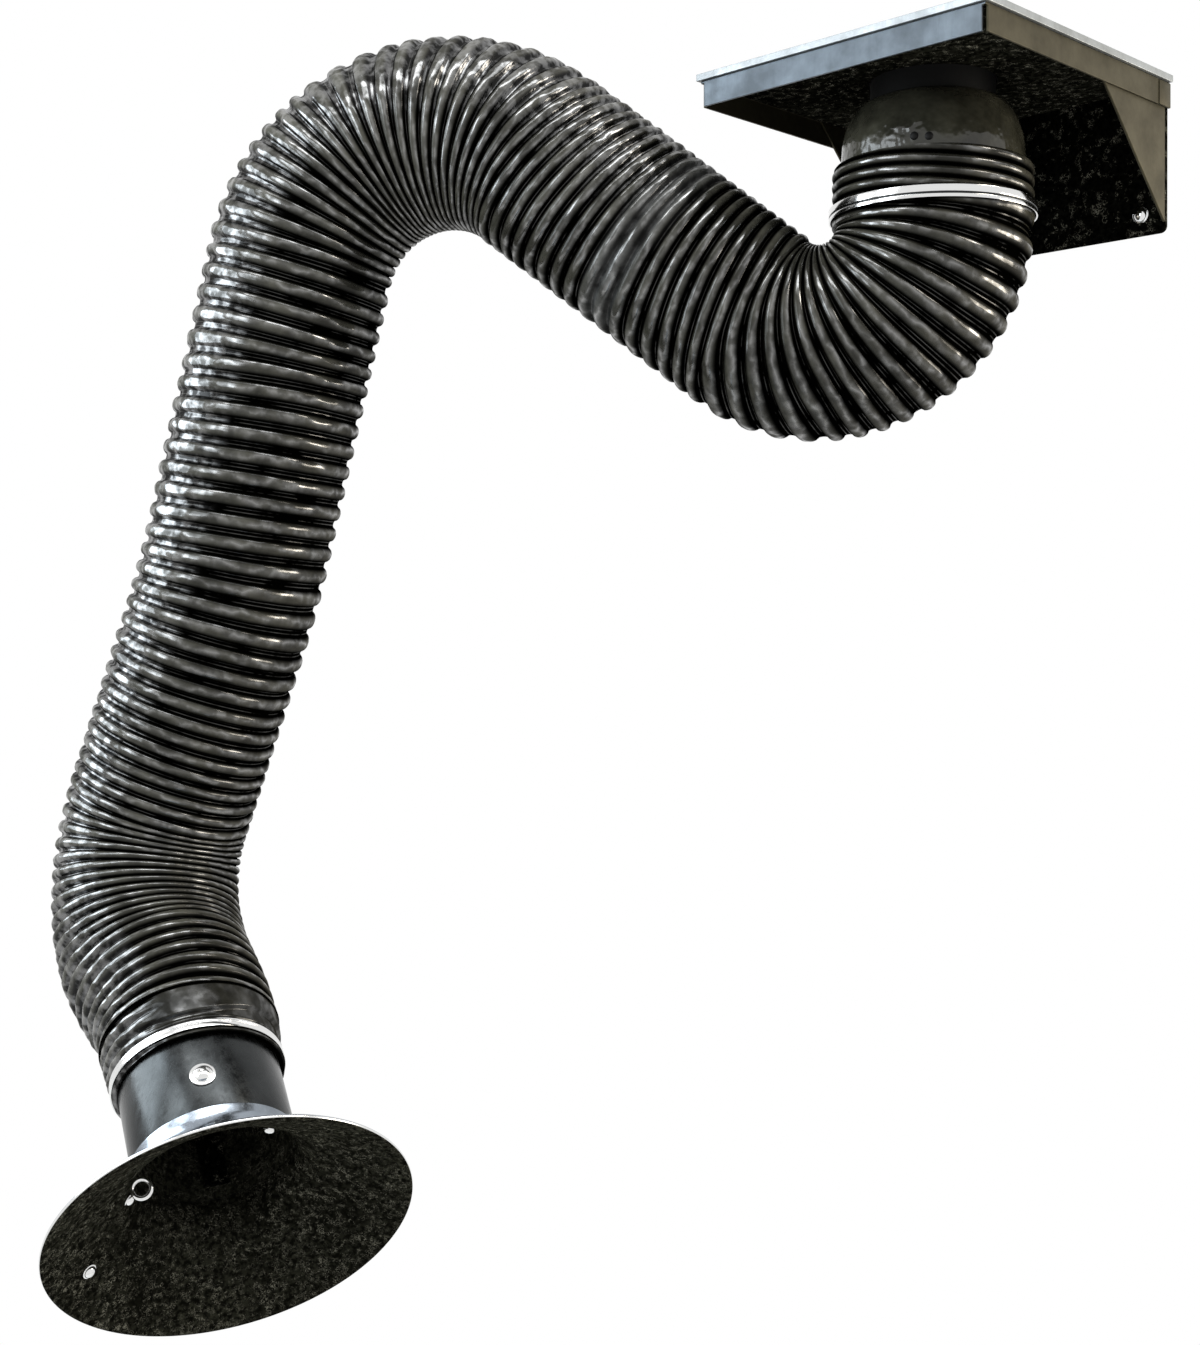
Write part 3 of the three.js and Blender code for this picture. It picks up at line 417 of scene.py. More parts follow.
def make_sheet(name, colour, patina, scratches, roughness):
    """Zinc-coated or bare sheet metal with soft blotches and fine lines."""
    finish = Finish(name, Metallic=0.8)
    marks = finish.group(patina, Blotch_Scale=26.0, Grain_Scale=520.0)
    lines = finish.group(scratches, Scale=90.0, Stretch=0.12)
    mottle = finish.spread(marks["Blotch"], 0.0, 1.0, 0.35, 0.7)
    base = finish.mix(mottle, shade(colour, 0.68), shade(colour, 1.2))
    scored = finish.spread(lines["Line"], 0.0, 0.4, 0.5, 0.8)
    finish.feed("Base Color", finish.mix(scored, base, shade(colour, 0.45)))
    finish.feed("Roughness", finish.spread(marks["Blotch"], roughness + 0.12, roughness - 0.06, 0.3, 0.7))
    finish.bump(marks["Grain"], 0.10, 0.0006)
    return finish.material


def make_coat(name, ground, fleck, worms, patina, scale, cover):
    """A dull dark coat with short pale threads in it."""
    finish = Finish(name, Specular_IOR_Level=0.0)
    threads = finish.group(worms, Scale=scale, Cover=cover)
    marks = finish.group(patina, Blotch_Scale=11.0, Grain_Scale=240.0)
    clouds = finish.spread(marks["Blotch"], 0.0, 1.0, 0.38, 0.66)
    cloudy = finish.mix(clouds, shade(ground, 0.55), shade(ground, 1.9))
    grainy = finish.mix(finish.spread(marks["Grain"], 0.0, 1.0, 0.42, 0.62), shade(ground, 0.25), cloudy)
    finish.feed("Base Color", finish.mix(threads["Worm"], grainy, fleck))
    finish.feed("Roughness", finish.spread(threads["Worm"], 0.8, 0.45))
    finish.bump(threads["Height"], 0.4, 0.0012)
    return finish.material


def make_enamel(colours, patina):
    """Glossy enamel on an uneven wall."""
    finish = Finish("bell_enamel", Specular_IOR_Level=0.5)
    marks = finish.group(patina, Blotch_Scale=24.0, Grain_Scale=58.0)
    mottle = finish.spread(marks["Blotch"], 0.0, 1.0, 0.35, 0.7)
    finish.feed("Base Color", finish.mix(mottle, shade(colours.bell, 0.5), shade(colours.bell, 1.8)))
    finish.feed("Roughness", finish.spread(marks["Blotch"], 0.08, 0.28, 0.35, 0.75))
    finish.bump(marks["Grain"], 0.5, 0.004)
    return finish.material


def make_steel(name, colour, patina, scratches, roughness, dark):
    """Handled steel: lines along it, dull blotches, and darker marks."""
    finish = Finish(name, Metallic=1.0)
    marks = finish.group(patina, Blotch_Scale=18.0, Grain_Scale=600.0)
    lines = finish.group(scratches, Scale=150.0, Stretch=0.05)
    base = finish.mix(finish.spread(marks["Blotch"], 0.0, 1.0, 0.4, 0.75), colour, shade(colour, dark))
    scored = finish.spread(lines["Line"], 0.0, 0.5, 0.55, 0.8)
    finish.feed("Base Color", finish.mix(scored, base, shade(colour, 0.6)))
    finish.feed("Roughness", finish.spread(lines["Line"], roughness - 0.06, roughness + 0.16, 0.35, 0.75))
    finish.bump(lines["Line"], 0.04, 0.0006)
    return finish.material


def make_plain(name, colour, patina, roughness):
    """Moulded or pressed material with a fine grain."""
    finish = Finish(name, Specular_IOR_Level=0.2)
    marks = finish.group(patina, Blotch_Scale=40.0, Grain_Scale=300.0)
    finish.feed("Base Color", finish.mix(marks["Blotch"], shade(colour, 0.75), shade(colour, 1.15)))
    finish.feed("Roughness", finish.spread(marks["Grain"], roughness - 0.1, roughness + 0.1))
    finish.bump(marks["Grain"], 0.2, 0.0005)
    return finish.material


def finishes():
    """Every material of the arm by its finish, made on the first call."""
    if "hose_vinyl" not in bpy.data.materials:
        colours = bpy.context.scene.arm_finishes
        patina, worms, scratches = patina_group(), worm_group(), scratch_group()
        make_vinyl(colours, patina)
        make_sheet("galvanised_sheet", colours.galvanised, patina, scratches, 0.36)
        make_sheet("plate_edge", colours.plate, patina, scratches, 0.42)
        make_sheet("gusset_sheet", colours.gusset, patina, scratches, 0.50)
        coats = (  # name, ground, how pale its flecks are, how close together, and how much they cover
            ("granular_coat", shade(colours.coat, 0.85), 1.6, 300.0, 0.52),
            # The tray's underside: a darker copy of the coat, partly the tray's own dark coat, partly painted
            # shade under the tray
            ("tray_coat_shaded", shade(colours.coat, 0.60), 2.4, 240.0, 0.46),
            ("throat_coat", shade(colours.coat, 1.3), 1.3, 300.0, 0.52),
            # The wall plate's much darker copy of the coat: painted shade under the tray
            ("plate_coat", colours.plate_coat, 2.2, 260.0, 0.42),
        )
        for name, ground, pale, scale, cover in coats:
            make_coat(name, ground, shade(colours.fleck, pale), worms, patina, scale, cover)
        make_enamel(colours, patina)
        make_steel("collar_steel", colours.collar, patina, scratches, 0.24, 0.6)
        make_steel("neck_steel", colours.neck, patina, scratches, 0.2, 0.45)
        make_steel("bright_steel", colours.bright, patina, scratches, 0.2, 0.8)
        make_steel("plain_steel", colours.plain, patina, scratches, 0.34, 0.75)
        make_plain("dark_rubber", (0.004, 0.004, 0.004), patina, 0.6)
        make_plain("friction_lining", (0.20, 0.12, 0.07), patina, 0.8)
        make_plain("slide_plastic", (0.72, 0.71, 0.67), patina, 0.5)
    return bpy.data.materials


# Making of pieces


def piece_from(bm, name, body, material, nodes=(), smooth_angle=40.0):
    """Turns a bmesh into a piece with a finish, that rides on a body and stands for nodes."""
    mesh = bpy.data.meshes.new(name)
    bm.to_mesh(mesh)
    bm.free()
    mesh.materials.append(finishes()[material])
    mesh.shade_smooth()
    mesh.set_sharp_from_angle(angle=math.radians(smooth_angle))
    piece = bpy.data.objects.new(name, mesh)
    bpy.context.scene.collection.objects.link(piece)
    if nodes:
        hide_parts(*nodes)
    if body:
        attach(piece, body)
    return piece


def second_finish(piece, material, chosen):
    """Gives a piece's chosen faces another material."""
    piece.data.materials.append(finishes()[material])
    index = len(piece.data.materials) - 1
    for face in piece.data.polygons:
        if chosen(face):
            face.material_index = index


def turned(profile, steps, closed=True):
    """A bmesh turned about z from (radius, height) points."""
    bm = bmesh.new()
    corners = [bm.verts.new((radius, 0, height)) for radius, height in profile]
    pairs = list(zip(corners, corners[1:]))
    if closed:
        pairs.append((corners[-1], corners[0]))
    edges = [bm.edges.new(pair) for pair in pairs]
    bmesh.ops.spin(bm, geom=corners + edges, cent=(0, 0, 0), axis=(0, 0, 1), angle=2 * math.pi, steps=steps,
                   use_merge=True)
    bmesh.ops.remove_doubles(bm, verts=bm.verts, dist=1e-6)
    bmesh.ops.recalc_face_normals(bm, faces=bm.faces)
    return bm


def curve(first, corner, last, steps):
    """Points of a curve from first to last that is drawn towards a corner."""
    shares = [i / steps for i in range(steps + 1)]
    return [first * (1 - t) ** 2 + corner * 2 * t * (1 - t) + last * t ** 2 for t in shares]


def rounded(points, radius, steps=2):
    """A closed outline of (radius, height) points with each corner rounded."""
    result = []
    for before, here, after in zip(points[-1:] + points[:-1], points, points[1:] + points[:1]):
        corner = Vector(here)
        to_before, to_after = Vector(before) - corner, Vector(after) - corner
        cut = min(radius, to_before.length * 0.45, to_after.length * 0.45)
        first = corner + to_before.normalized() * cut
        last = corner + to_after.normalized() * cut
        result += [tuple(point) for point in curve(first, corner, last, steps)]
    return result


def add_block(bm, low, high, ease):
    """Adds a box with eased edges to a bmesh."""
    size = Vector(high) - Vector(low)
    place = Matrix.Translation((Vector(high) + Vector(low)) / 2) @ Matrix.Diagonal((*size, 1.0))
    made = bmesh.ops.create_cube(bm, size=1.0, matrix=place)
    edges = list(dict.fromkeys(edge for vert in made["verts"] for edge in vert.link_edges))
    bmesh.ops.bevel(bm, geom=edges, offset=ease, affect="EDGES", segments=2, profile=0.5, material=-1)


def add_copy(bm, other):
    """Adds a copy of another bmesh, which is used up."""
    mesh = bpy.data.meshes.new("copy")
    other.to_mesh(mesh)
    other.free()
    bm.from_mesh(mesh)
    bpy.data.meshes.remove(mesh)


def eased_copy(node, material, width):
    """A copy of one of the bracket's sheet metal nodes with its sharp edges eased."""
    bm = bmesh.new()
    bm.from_mesh(frame["nodes"][node].data)
    bmesh.ops.remove_doubles(bm, verts=bm.verts, dist=1e-6)
    bmesh.ops.dissolve_limit(bm, angle_limit=math.radians(2), verts=bm.verts, edges=bm.edges)
    folds = [edge for edge in bm.edges if len(edge.link_faces) == 2]
    sharp = [edge for edge in folds if edge.calc_face_angle() > math.radians(50)]
    bmesh.ops.bevel(bm, geom=sharp, offset=width, affect="EDGES", segments=2, profile=0.5, material=-1,
                    clamp_overlap=True)
    bmesh.ops.recalc_face_normals(bm, faces=bm.faces)
    piece = piece_from(bm, node + "_eased", "bracket", material, (node,), 80.0)
    weighted = piece.modifiers.new("Flat faces", "WEIGHTED_NORMAL")
    weighted.keep_sharp = True
    return piece


# The hose


def bent_route():
    """The route's runs and bends in order: a length, and the middle, way, side and bend along it."""
    parts, start, side = [], HOSE_START, Vector((0, 1, 0))

    def run(origin, way, length, across):
        return length, lambda far: (origin + way * far, way, across, Vector())

    def bend(origin, way, inward, radius, turn, across):
        pole = way.cross(inward)

        def at(far):
            angle = far / radius
            spin = Quaternion(pole, angle)
            middle = origin + way * (radius * math.sin(angle)) + inward * (radius * (1 - math.cos(angle)))
            return middle, spin @ way, spin @ across, (spin @ inward) / radius

        return radius * turn, at

    targets = [corner for corner, _ in HOSE_CORNERS] + [HOSE_END]
    for (corner, radius), target in zip(HOSE_CORNERS, targets[1:]):
        before, after = (corner - start).normalized(), (target - corner).normalized()
        turn = before.angle(after)
        setback = radius * math.tan(turn / 2)
        bend_start = corner - before * setback
        inward = (after - before * after.dot(before)).normalized()
        parts.append(run(start, before, (bend_start - start).length, side))
        parts.append(bend(bend_start, before, inward, radius, turn, side))
        side = Quaternion(before.cross(inward), turn) @ side
        start = corner + after * setback
    parts.append(run(start, (HOSE_END - start).normalized(), (HOSE_END - start).length, side))
    return parts


SHORTEST_STEP = 0.0002  # between the hose's outer rings
BORE_STEP = 0.02  # between the rings of its bore
ROUTE = bent_route()
ROUTE_LENGTH = sum(length for length, _ in ROUTE)


def route_at(distance):
    """The place at a distance along the hose; past both ends the route runs straight on."""
    for length, at in ROUTE[:-1]:
        if distance <= length:
            return at(distance)
        distance -= length
    return ROUTE[-1][1](distance)


def between(low, high, share):
    """The value at a share of the way from low to high."""
    return low + (high - low) * share


def eased(value, start, end):
    """0 before the start, 1 after the end, and a soft rise between them."""
    t = min(1.0, max(0.0, (value - start) / (end - start)))
    return t * t * (3 - 2 * t)


def table_at(table, distance):
    """The value at a distance, between the rows of a table of (distance, value)."""
    for (d0, v0), (d1, v1) in zip(table, table[1:]):
        if distance <= d1:
            return between(v0, v1, max(0.0, distance - d0) / (d1 - d0))
    return table[-1][1]


def pitch_at(distance):
    """How far apart the ribs are at a distance along the hose."""
    return table_at(RIB_PITCH, distance)


def rib_count(distance, step=0.0005):
    """How many ribs lie before a distance along the hose."""
    steps = max(1, round(abs(distance) / step))
    return sum(distance / steps / pitch_at((i + 0.5) * distance / steps) for i in range(steps))


def rib_stations(start, end, steps):
    """Distances along the hose from start to end, so many for each rib, each with its count of ribs."""
    count, stations, distance = rib_count(start), [], start
    while distance < end:
        stations.append((distance, count))
        distance += pitch_at(distance) / steps
        count += 1 / steps
    if end - stations[-1][0] < SHORTEST_STEP:
        stations.pop()
    return stations + [(end, rib_count(end))]


# The ribs' shape: where they crowd they stand lower, and in a wide groove the slack vinyl lies in pleats
WIDEST_RIB = 0.92
RIB_WOBBLE = 0.05
CROWDED_HEIGHT = 0.3
CROWDED_PITCH = 0.014
PLEATS = 5
PLEATS_START, PLEATS_FULL = 0.008, 0.018
PLEAT_HEIGHT = 0.0011
PLEAT_CREST = 0.12
GROOVE_SAG = 0.0006


def rib_width(pitch, sizes):
    """Width of a rib where ribs are this far apart."""
    return min(sizes.rib_width + sizes.rib_stretch * pitch, WIDEST_RIB * pitch)


def rib_shape(phase, pitch, sizes):
    """How far a rib stands out at a phase from 0 to 1, and its share of crest, at this pitch."""
    width = rib_width(pitch, sizes)
    height = sizes.rib_height * min(1.0, CROWDED_HEIGHT + pitch / CROWDED_PITCH)
    away = 2 * abs(phase % 1.0 - 0.5) * pitch / width
    if away < 1.0:
        crest = math.sqrt(1 - away ** 2)
        return height * crest, crest
    groove = (away - 1) / max(1e-6, pitch / width - 1)
    slack = min(1.0, max(0.0, pitch - width - PLEATS_START) / (PLEATS_FULL - PLEATS_START))
    pleat = slack * (0.5 - 0.5 * math.cos(PLEATS * math.pi * groove))
    return PLEAT_HEIGHT * pleat - GROOVE_SAG * math.sin(math.pi / 2 * groove), PLEAT_CREST * pleat


# The hose's ends: the upper clamp and the taper are placed along the hose, the lower clamp and the fold along
# the cuff
UPPER_CLAMP = (-0.0145, -0.004)
CLAMP_FLANKS = (0.003, 0.0025)
CLAMPED_CREST = 0.2
TAPER = (ROUTE_LENGTH - 0.13, ROUTE_LENGTH + 0.004)
CUFF_SMOOTH_SIDE = Vector((-0.80, 0.58, 0.12))  # in the swivel's frame
CUFF_DRAWN_FROM = 0.004
CUFF_DRAWN_IN = 0.0016
CUFF_FOLD_AT, CUFF_FOLD_WAVE, CUFF_FOLD_EDGE = 0.021, 0.005, 0.0022
CUFF_FOLD_HEIGHT = 0.0034
CUFF_CREST = 0.48
CUFF_LIP, CUFF_LIP_HEIGHT = (0.030, 0.034), 0.0030
LOWER_CLAMP = tuple(CUFF_END - CUFF_START - LOWER_CLAMP_WIDTH * share for share in (1.5, 0.5))


def under_clamp(distance, clamp):
    """1 under a clamp's band, falling to 0 beside it."""
    start, end = clamp
    return eased(distance, start - CLAMP_FLANKS[0], start) * (1 - eased(distance, end, end + CLAMP_FLANKS[1]))


def narrowed(distance):
    """How much narrower the hose is where it comes down to its cuff."""
    return CUFF_TAPER * eased(distance, *TAPER)


def cuff_radius(along, out, rise, crest, sizes):
    """The hose's end on the collar: drawn in, smooth with a fold on one side, flat under its clamp."""
    wide = sizes.hose_valley - narrowed(ROUTE_LENGTH + along)
    drawn = between(wide, CUFF_RADIUS - CUFF_DRAWN_IN, eased(along, CUFF_DRAWN_FROM, LOWER_CLAMP[0]))
    smooth = eased(out.dot(CUFF_SMOOTH_SIDE), 0.15, 0.55)
    fold_at = CUFF_FOLD_AT + CUFF_FOLD_WAVE * math.sin(3.1 * out.x + 2.2 * out.z + 0.6)
    fold = CUFF_FOLD_HEIGHT * (1 - eased(along, fold_at, fold_at + CUFF_FOLD_EDGE))
    lip = CUFF_LIP_HEIGHT * eased(along, *CUFF_LIP)
    radius = drawn + between(rise * 0.9, fold + lip, smooth)
    held = under_clamp(along, LOWER_CLAMP)
    crest = between(between(crest, CUFF_CREST, smooth), CLAMPED_CREST, held)
    return between(radius, CUFF_RADIUS, held), crest, smooth


def hose_radius(distance, out, count, turn, bend, wobble, sizes):
    """At a place: the hose's outer radius, share of crest, count of ribs, and pitch over rib width."""
    pitch = pitch_at(distance)
    lean = 0.5 * table_at(RIB_LEAN, distance) * math.sin(turn)
    pitch_here = pitch * max(0.1, 1 - bend.dot(out) * sizes.hose_valley)
    phase = count - lean / pitch - turn / (2 * math.pi) + RIB_WOBBLE * wobble
    rise, crest = rib_shape(phase, pitch_here, sizes)
    ratio = pitch_here / rib_width(pitch_here, sizes)
    if distance > ROUTE_LENGTH:
        radius, crest, smooth = cuff_radius(distance - ROUTE_LENGTH, out, rise, crest, sizes)
        return radius, crest, phase, ratio * (1 - smooth)
    held = under_clamp(distance, UPPER_CLAMP)
    radius = between(sizes.hose_valley + rise, HOSE_CREST, held) - narrowed(distance)
    return radius, between(crest, CLAMPED_CREST, held), phase, ratio


def free_of_clamps(distance):
    """0 under a clamp's band, and 1 away from both."""
    return 1 - under_clamp(distance, UPPER_CLAMP) - under_clamp(distance - ROUTE_LENGTH, LOWER_CLAMP)


HANDLED_FROM = (0.30, 0.38)
DUSTY_RING = ((0.305, 0.325), (0.335, 0.355))  # where the pale worn place starts and ends along the hose


def handled(distance, turn):
    """How crumpled and shining the hose is: most on its upper and left sides past the first bend."""
    return eased(distance, *HANDLED_FROM) * eased(math.sin(turn), -0.1, 0.5)


def dusty(distance):
    """1 in the pale worn place on the inner run, and 0 away from it."""
    start, end = DUSTY_RING
    return eased(distance, *start) * (1 - eased(distance, *end))


def uneven(place):
    """Lumps of two sizes."""
    return noise.noise(place * 80) + 0.7 * noise.noise(place * 160)


def hose_stretch(start, end, bore, sizes):
    """A closed length of hose: its ribs outside, its bore inside, and flat rings at its ends."""
    outside = rib_stations(start, end, sizes.rib_steps)
    bore_steps = max(4, round((end - start) / BORE_STEP))
    inside = [(between(end, start, i / bore_steps), None) for i in range(bore_steps + 1)]
    rings = outside + inside + outside[:1]
    bm = bmesh.new()
    bmesh.ops.create_grid(bm, x_segments=len(rings) - 1, y_segments=sizes.hose_sides, size=1.0)
    names = ("crest", "along", "phase", "ratio", "handled", "dust")
    crests, along, phases, ratios, handles, dusts = (bm.verts.layers.float.new(name) for name in names)
    ribs = bm.loops.layers.uv.new("ribs")
    places = [(distance, count, route_at(distance)) for distance, count in rings]
    for vert in bm.verts:
        distance, count, (middle, way, side, bend) = places[round((vert.co.x + 1) / 2 * (len(rings) - 1))]
        turn = (vert.co.y + 1) * math.pi
        out = side * math.cos(turn) + way.cross(side) * math.sin(turn)
        radius = bore - narrowed(distance) if distance < ROUTE_LENGTH else bore
        if count is not None:
            skin = middle + out * sizes.hose_valley
            radius, vert[crests], vert[phases], vert[ratios] = hose_radius(
                distance, out, count, turn, bend, noise.noise(skin * 15), sizes)
            vert[handles] = handled(distance, turn)
            vert[dusts] = dusty(distance)
            lump = between(0.35, 1.3, vert[handles]) * between(0.25, 1.0, vert[crests])
            radius += sizes.lump * lump * free_of_clamps(distance) * uneven(skin)
        vert[along] = distance
        vert.co = SWIVEL @ (middle + out * radius)
    for face in bm.faces:
        for loop in face.loops:
            loop[ribs].uv = loop.vert[phases], loop.vert[ratios]
    bmesh.ops.remove_doubles(bm, verts=bm.verts, dist=1e-6)
    bmesh.ops.recalc_face_normals(bm, faces=bm.faces)
    return bm


def squeezed_shares(start, end, side, lead_in, lead_out, radius, steps=80):
    """Shares of a stretch's bend from its start to its end, by its length on the squeezed side."""
    shares = [0.0]
    for i in range(steps):
        distance = between(start, end, (i + 0.5) / steps)
        room = max(0.05, 1 - route_at(distance)[3].dot(side) * radius)
        ease = min(1.0, (distance - start) / lead_in) * min(1.0, (end - distance) / lead_out)
        shares.append(shares[-1] + room * ease)
    return [(between(start, end, i / steps), share / shares[-1]) for i, share in enumerate(shares)]


def bend_with_length(piece, start, end, squeezed, radius):
    """Bakes a stretch's place into its mesh and works out each vertex's share of the bend along its length;
    nothing is bent with these shares.
    """
    SWIVEL @ route_at(start)[0]
    SWIVEL @ route_at(end)[0]
    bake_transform(piece)
    along = [0.0] * len(piece.data.vertices)
    piece.data.attributes["along"].data.foreach_get("value", along)
    if squeezed is None:
        shares = [eased(distance, start, end) for distance in along]
    else:
        table = squeezed_shares(start, end, *squeezed, radius)
        shares = [min(1.0, max(0.0, table_at(table, distance))) for distance in along]


HOSE_TOP_DROP = 0.024  # the hose starts this far below the top of its node


def bell_rim():
    """Height of the hose's upper end on the bell."""
    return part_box("hose_top")[1].z - HOSE_TOP_DROP


class ARM_OT_hose(bpy.types.Operator):
    """Makes the ribbed hose from the bell's spigot to the hood's collar"""

    bl_idname = "arm.hose"
    bl_label = "Hose"

    def execute(self, context):
        sizes = context.scene.arm_sizes
        start = HOSE_START.z + SWIVEL_AT.z - bell_rim()
        for node, stretch_end, bodies in HOSE_STRETCHES:
            end = ROUTE_LENGTH if stretch_end is None else stretch_end
            if node == "hose_cuff":
                end += ROUTE_LENGTH
            bm = hose_stretch(start, end, COLLAR_RADIUS + GAP if node == "hose_cuff" else HOSE_BORE, sizes)
            body = bodies[0] if len(bodies) == 1 else None
            piece = piece_from(bm, node + "_ribs", body, "hose_vinyl", (node,), 75.0)
            if body is None:
                bend_with_length(piece, start, end, SQUEEZED_SIDES.get(node), sizes.hose_valley)
            start = end
        return {"FINISHED"}


class ARM_OT_bracket(bpy.types.Operator):
    """Makes the bracket's sheet metal with eased edges and its duct outlet"""

    bl_idname = "arm.bracket"
    bl_label = "Bracket"

    LIP_DEPTH = 0.0032  # of the tray's folded lips, with their easing
    STRAP_FACES = (0.0001, 0.0008)  # out from the tray's sides
    STRAP_ENDS = (-0.020, -0.0005)  # out from the wall
    STRAP_BELOW_TOP = 0.001
    STRAP_EASE = 0.0002
    OUTLET_ROUNDING = 0.0008

    def execute(self, context):
        sizes = context.scene.arm_sizes
        ease = sizes.eased_edge
        eased_copy("top_plate", "plate_edge", ease)
        tray = eased_copy("bracket_tray", "galvanised_sheet", ease)
        low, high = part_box("bracket_tray")
        side_lip, front_lip = high.x - self.LIP_DEPTH, low.y + self.LIP_DEPTH
        # Faces that look down take the darker copy of the coat: partly the tray's own dark coat, partly painted
        # shade under the tray
        second_finish(tray, "tray_coat_shaded", lambda face: face.normal.z < -0.5 and face.center.y > front_lip
                      and abs(face.center.x) < side_lip)
        # The tray's side lips take the gusset's darker, warmer finish: painted warm light and shade on the sides
        second_finish(tray, "gusset_sheet", lambda face: abs(face.center.x) > side_lip)
        # The wall plate takes the darkest coat: painted shade under the tray
        eased_copy("wall_plate", "plate_coat", ease)
        for side in ("left", "right"):
            eased_copy(f"gusset_{side}", "gusset_sheet", ease)
        bm = bmesh.new()
        for side in (-1, 1):
            faces = sorted(side * (high.x + out) for out in self.STRAP_FACES)
            front, back = self.STRAP_ENDS
            add_block(bm, (faces[0], front, low.z), (faces[1], back, high.z - self.STRAP_BELOW_TOP),
                      self.STRAP_EASE)
        piece_from(bm, "lip_end_straps", "bracket", "gusset_sheet")

        bottom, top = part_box("outlet_spigot")
        bore, flange = DUCT_RADIUS - DUCT_SHEET, (top.x - bottom.x) / 2
        flange_top = bottom.z + FLANGE_THICKNESS
        outline = [(bore, bottom.z), (flange, bottom.z), (flange, flange_top), (DUCT_RADIUS, flange_top),
                   (DUCT_RADIUS, top.z), (bore, top.z)]
        bm = turned(rounded(outline, self.OUTLET_ROUNDING), sizes.turn_steps)
        bmesh.ops.translate(bm, verts=bm.verts, vec=(SWIVEL_AT.x, SWIVEL_AT.y, 0))
        piece_from(bm, "outlet_spigot_turned", "bracket", "galvanised_sheet",
                   ("outlet_spigot",))
        return {"FINISHED"}


class ARM_OT_swivel_bell(bpy.types.Operator):
    """Makes the swivel bell and its two small stops"""

    bl_idname = "arm.swivel_bell"
    bl_label = "Swivel bell"

    DROP = 0.056
    DOME_STEPS = 20
    DENTS = ((26, 0.0011), (70, 0.0006))  # how close together, and how high
    DENTS_START = 0.012
    STOPS = ((-66.4, 0.0085), (-57.5, 0.0075))  # degrees round the bell, and height over the hose's end
    STOP_RADIUS = 0.0036
    STOP_FLATNESS = 0.5

    def execute(self, context):
        sizes = context.scene.arm_sizes
        box_low, box_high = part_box("swivel_bell")
        spigot = DUCT_RADIUS - GAP
        shoulder_end = bell_rim() + GAP
        outside, inside = [(NECK_RADIUS, box_high.z)], [(NECK_RADIUS - DUCT_SHEET, box_high.z)]
        for i in range(self.DOME_STEPS + 1):
            angle = i / self.DOME_STEPS * math.pi / 2
            out = (spigot - NECK_RADIUS) * math.sin(angle)
            height = shoulder_end + self.DROP * math.cos(angle)
            outside.append((NECK_RADIUS + out, height))
            inside.append((NECK_RADIUS - DUCT_SHEET + out, height - DUCT_SHEET))
        outside.append((spigot, box_low.z))
        inside.append((spigot - DUCT_SHEET, box_low.z))
        at_swivel = Matrix.Translation((SWIVEL_AT.x, SWIVEL_AT.y, 0))
        bm = turned(outside + inside[::-1], sizes.turn_steps)
        for vert in bm.verts:
            dent = sum(noise.noise(vert.co * fine) * height for fine, height in self.DENTS)
            dent *= eased(vert.co.z, shoulder_end, shoulder_end + self.DENTS_START)
            vert.co.x *= 1 + dent / spigot
            vert.co.y *= 1 + dent / spigot
        bm.transform(at_swivel)
        bell = piece_from(bm, "swivel_bell_turned", "swivel", "bell_enamel", ("swivel_bell",))
        second_finish(bell, "dark_rubber", lambda face: face.center.z > shoulder_end + self.DROP * 0.995)

        bm = bmesh.new()
        for turn, height in self.STOPS:
            spin = Matrix.Rotation(math.radians(turn), 4, "Z")
            reach = NECK_RADIUS + (spigot - NECK_RADIUS) * math.sqrt(1 - (height / self.DROP) ** 2)
            place = spin @ Matrix.Translation((reach, 0, shoulder_end + height))
            flat = place @ Matrix.Diagonal((self.STOP_FLATNESS, 1, 1, 1))
            bmesh.ops.create_uvsphere(bm, u_segments=16, v_segments=8, radius=self.STOP_RADIUS,
                                      matrix=at_swivel @ flat)
        piece_from(bm, "bell_stops", "swivel", "dark_rubber")
        return {"FINISHED"}


CLAMP_GROOVE = (0.28, 0.32, 0.41, 0.45)  # shares of a clamp's width
CLAMP_ROUNDING = 0.0003
CLAMP_HOUSING_EASE = 0.0012


def band_clamp(radius, low, high, steps):
    """A band with a groove round it, and its screw in a housing on the -y side."""
    outer, flat = radius + CLAMP_SHEET, radius + CLAMP_SHEET * 0.5
    outline = [(radius, low), (outer, low)]
    grooved = zip((outer, flat, flat, outer), CLAMP_GROOVE)
    outline += [(out, between(low, high, share)) for out, share in grooved]
    outline += [(outer, high), (radius, high)]
    bm = turned(rounded(outline, CLAMP_ROUNDING), steps)
    half, middle = CLAMP_HOUSING / 2, (low + high) / 2
    add_block(bm, (-half, -outer - CLAMP_HOUSING_DEPTH, low), (half, -radius - CLAMP_SHEET / 4, high),
              CLAMP_HOUSING_EASE)
    screw_at = Matrix.Translation((half, -outer - CLAMP_HOUSING_DEPTH / 2, middle))
    lie = screw_at @ Matrix.Rotation(math.pi / 2, 4, "Y")
    bmesh.ops.create_cone(bm, cap_ends=True, segments=6, radius1=CLAMP_SCREW, radius2=CLAMP_SCREW,
                          depth=4 * CLAMP_SCREW, matrix=lie)
    return bm


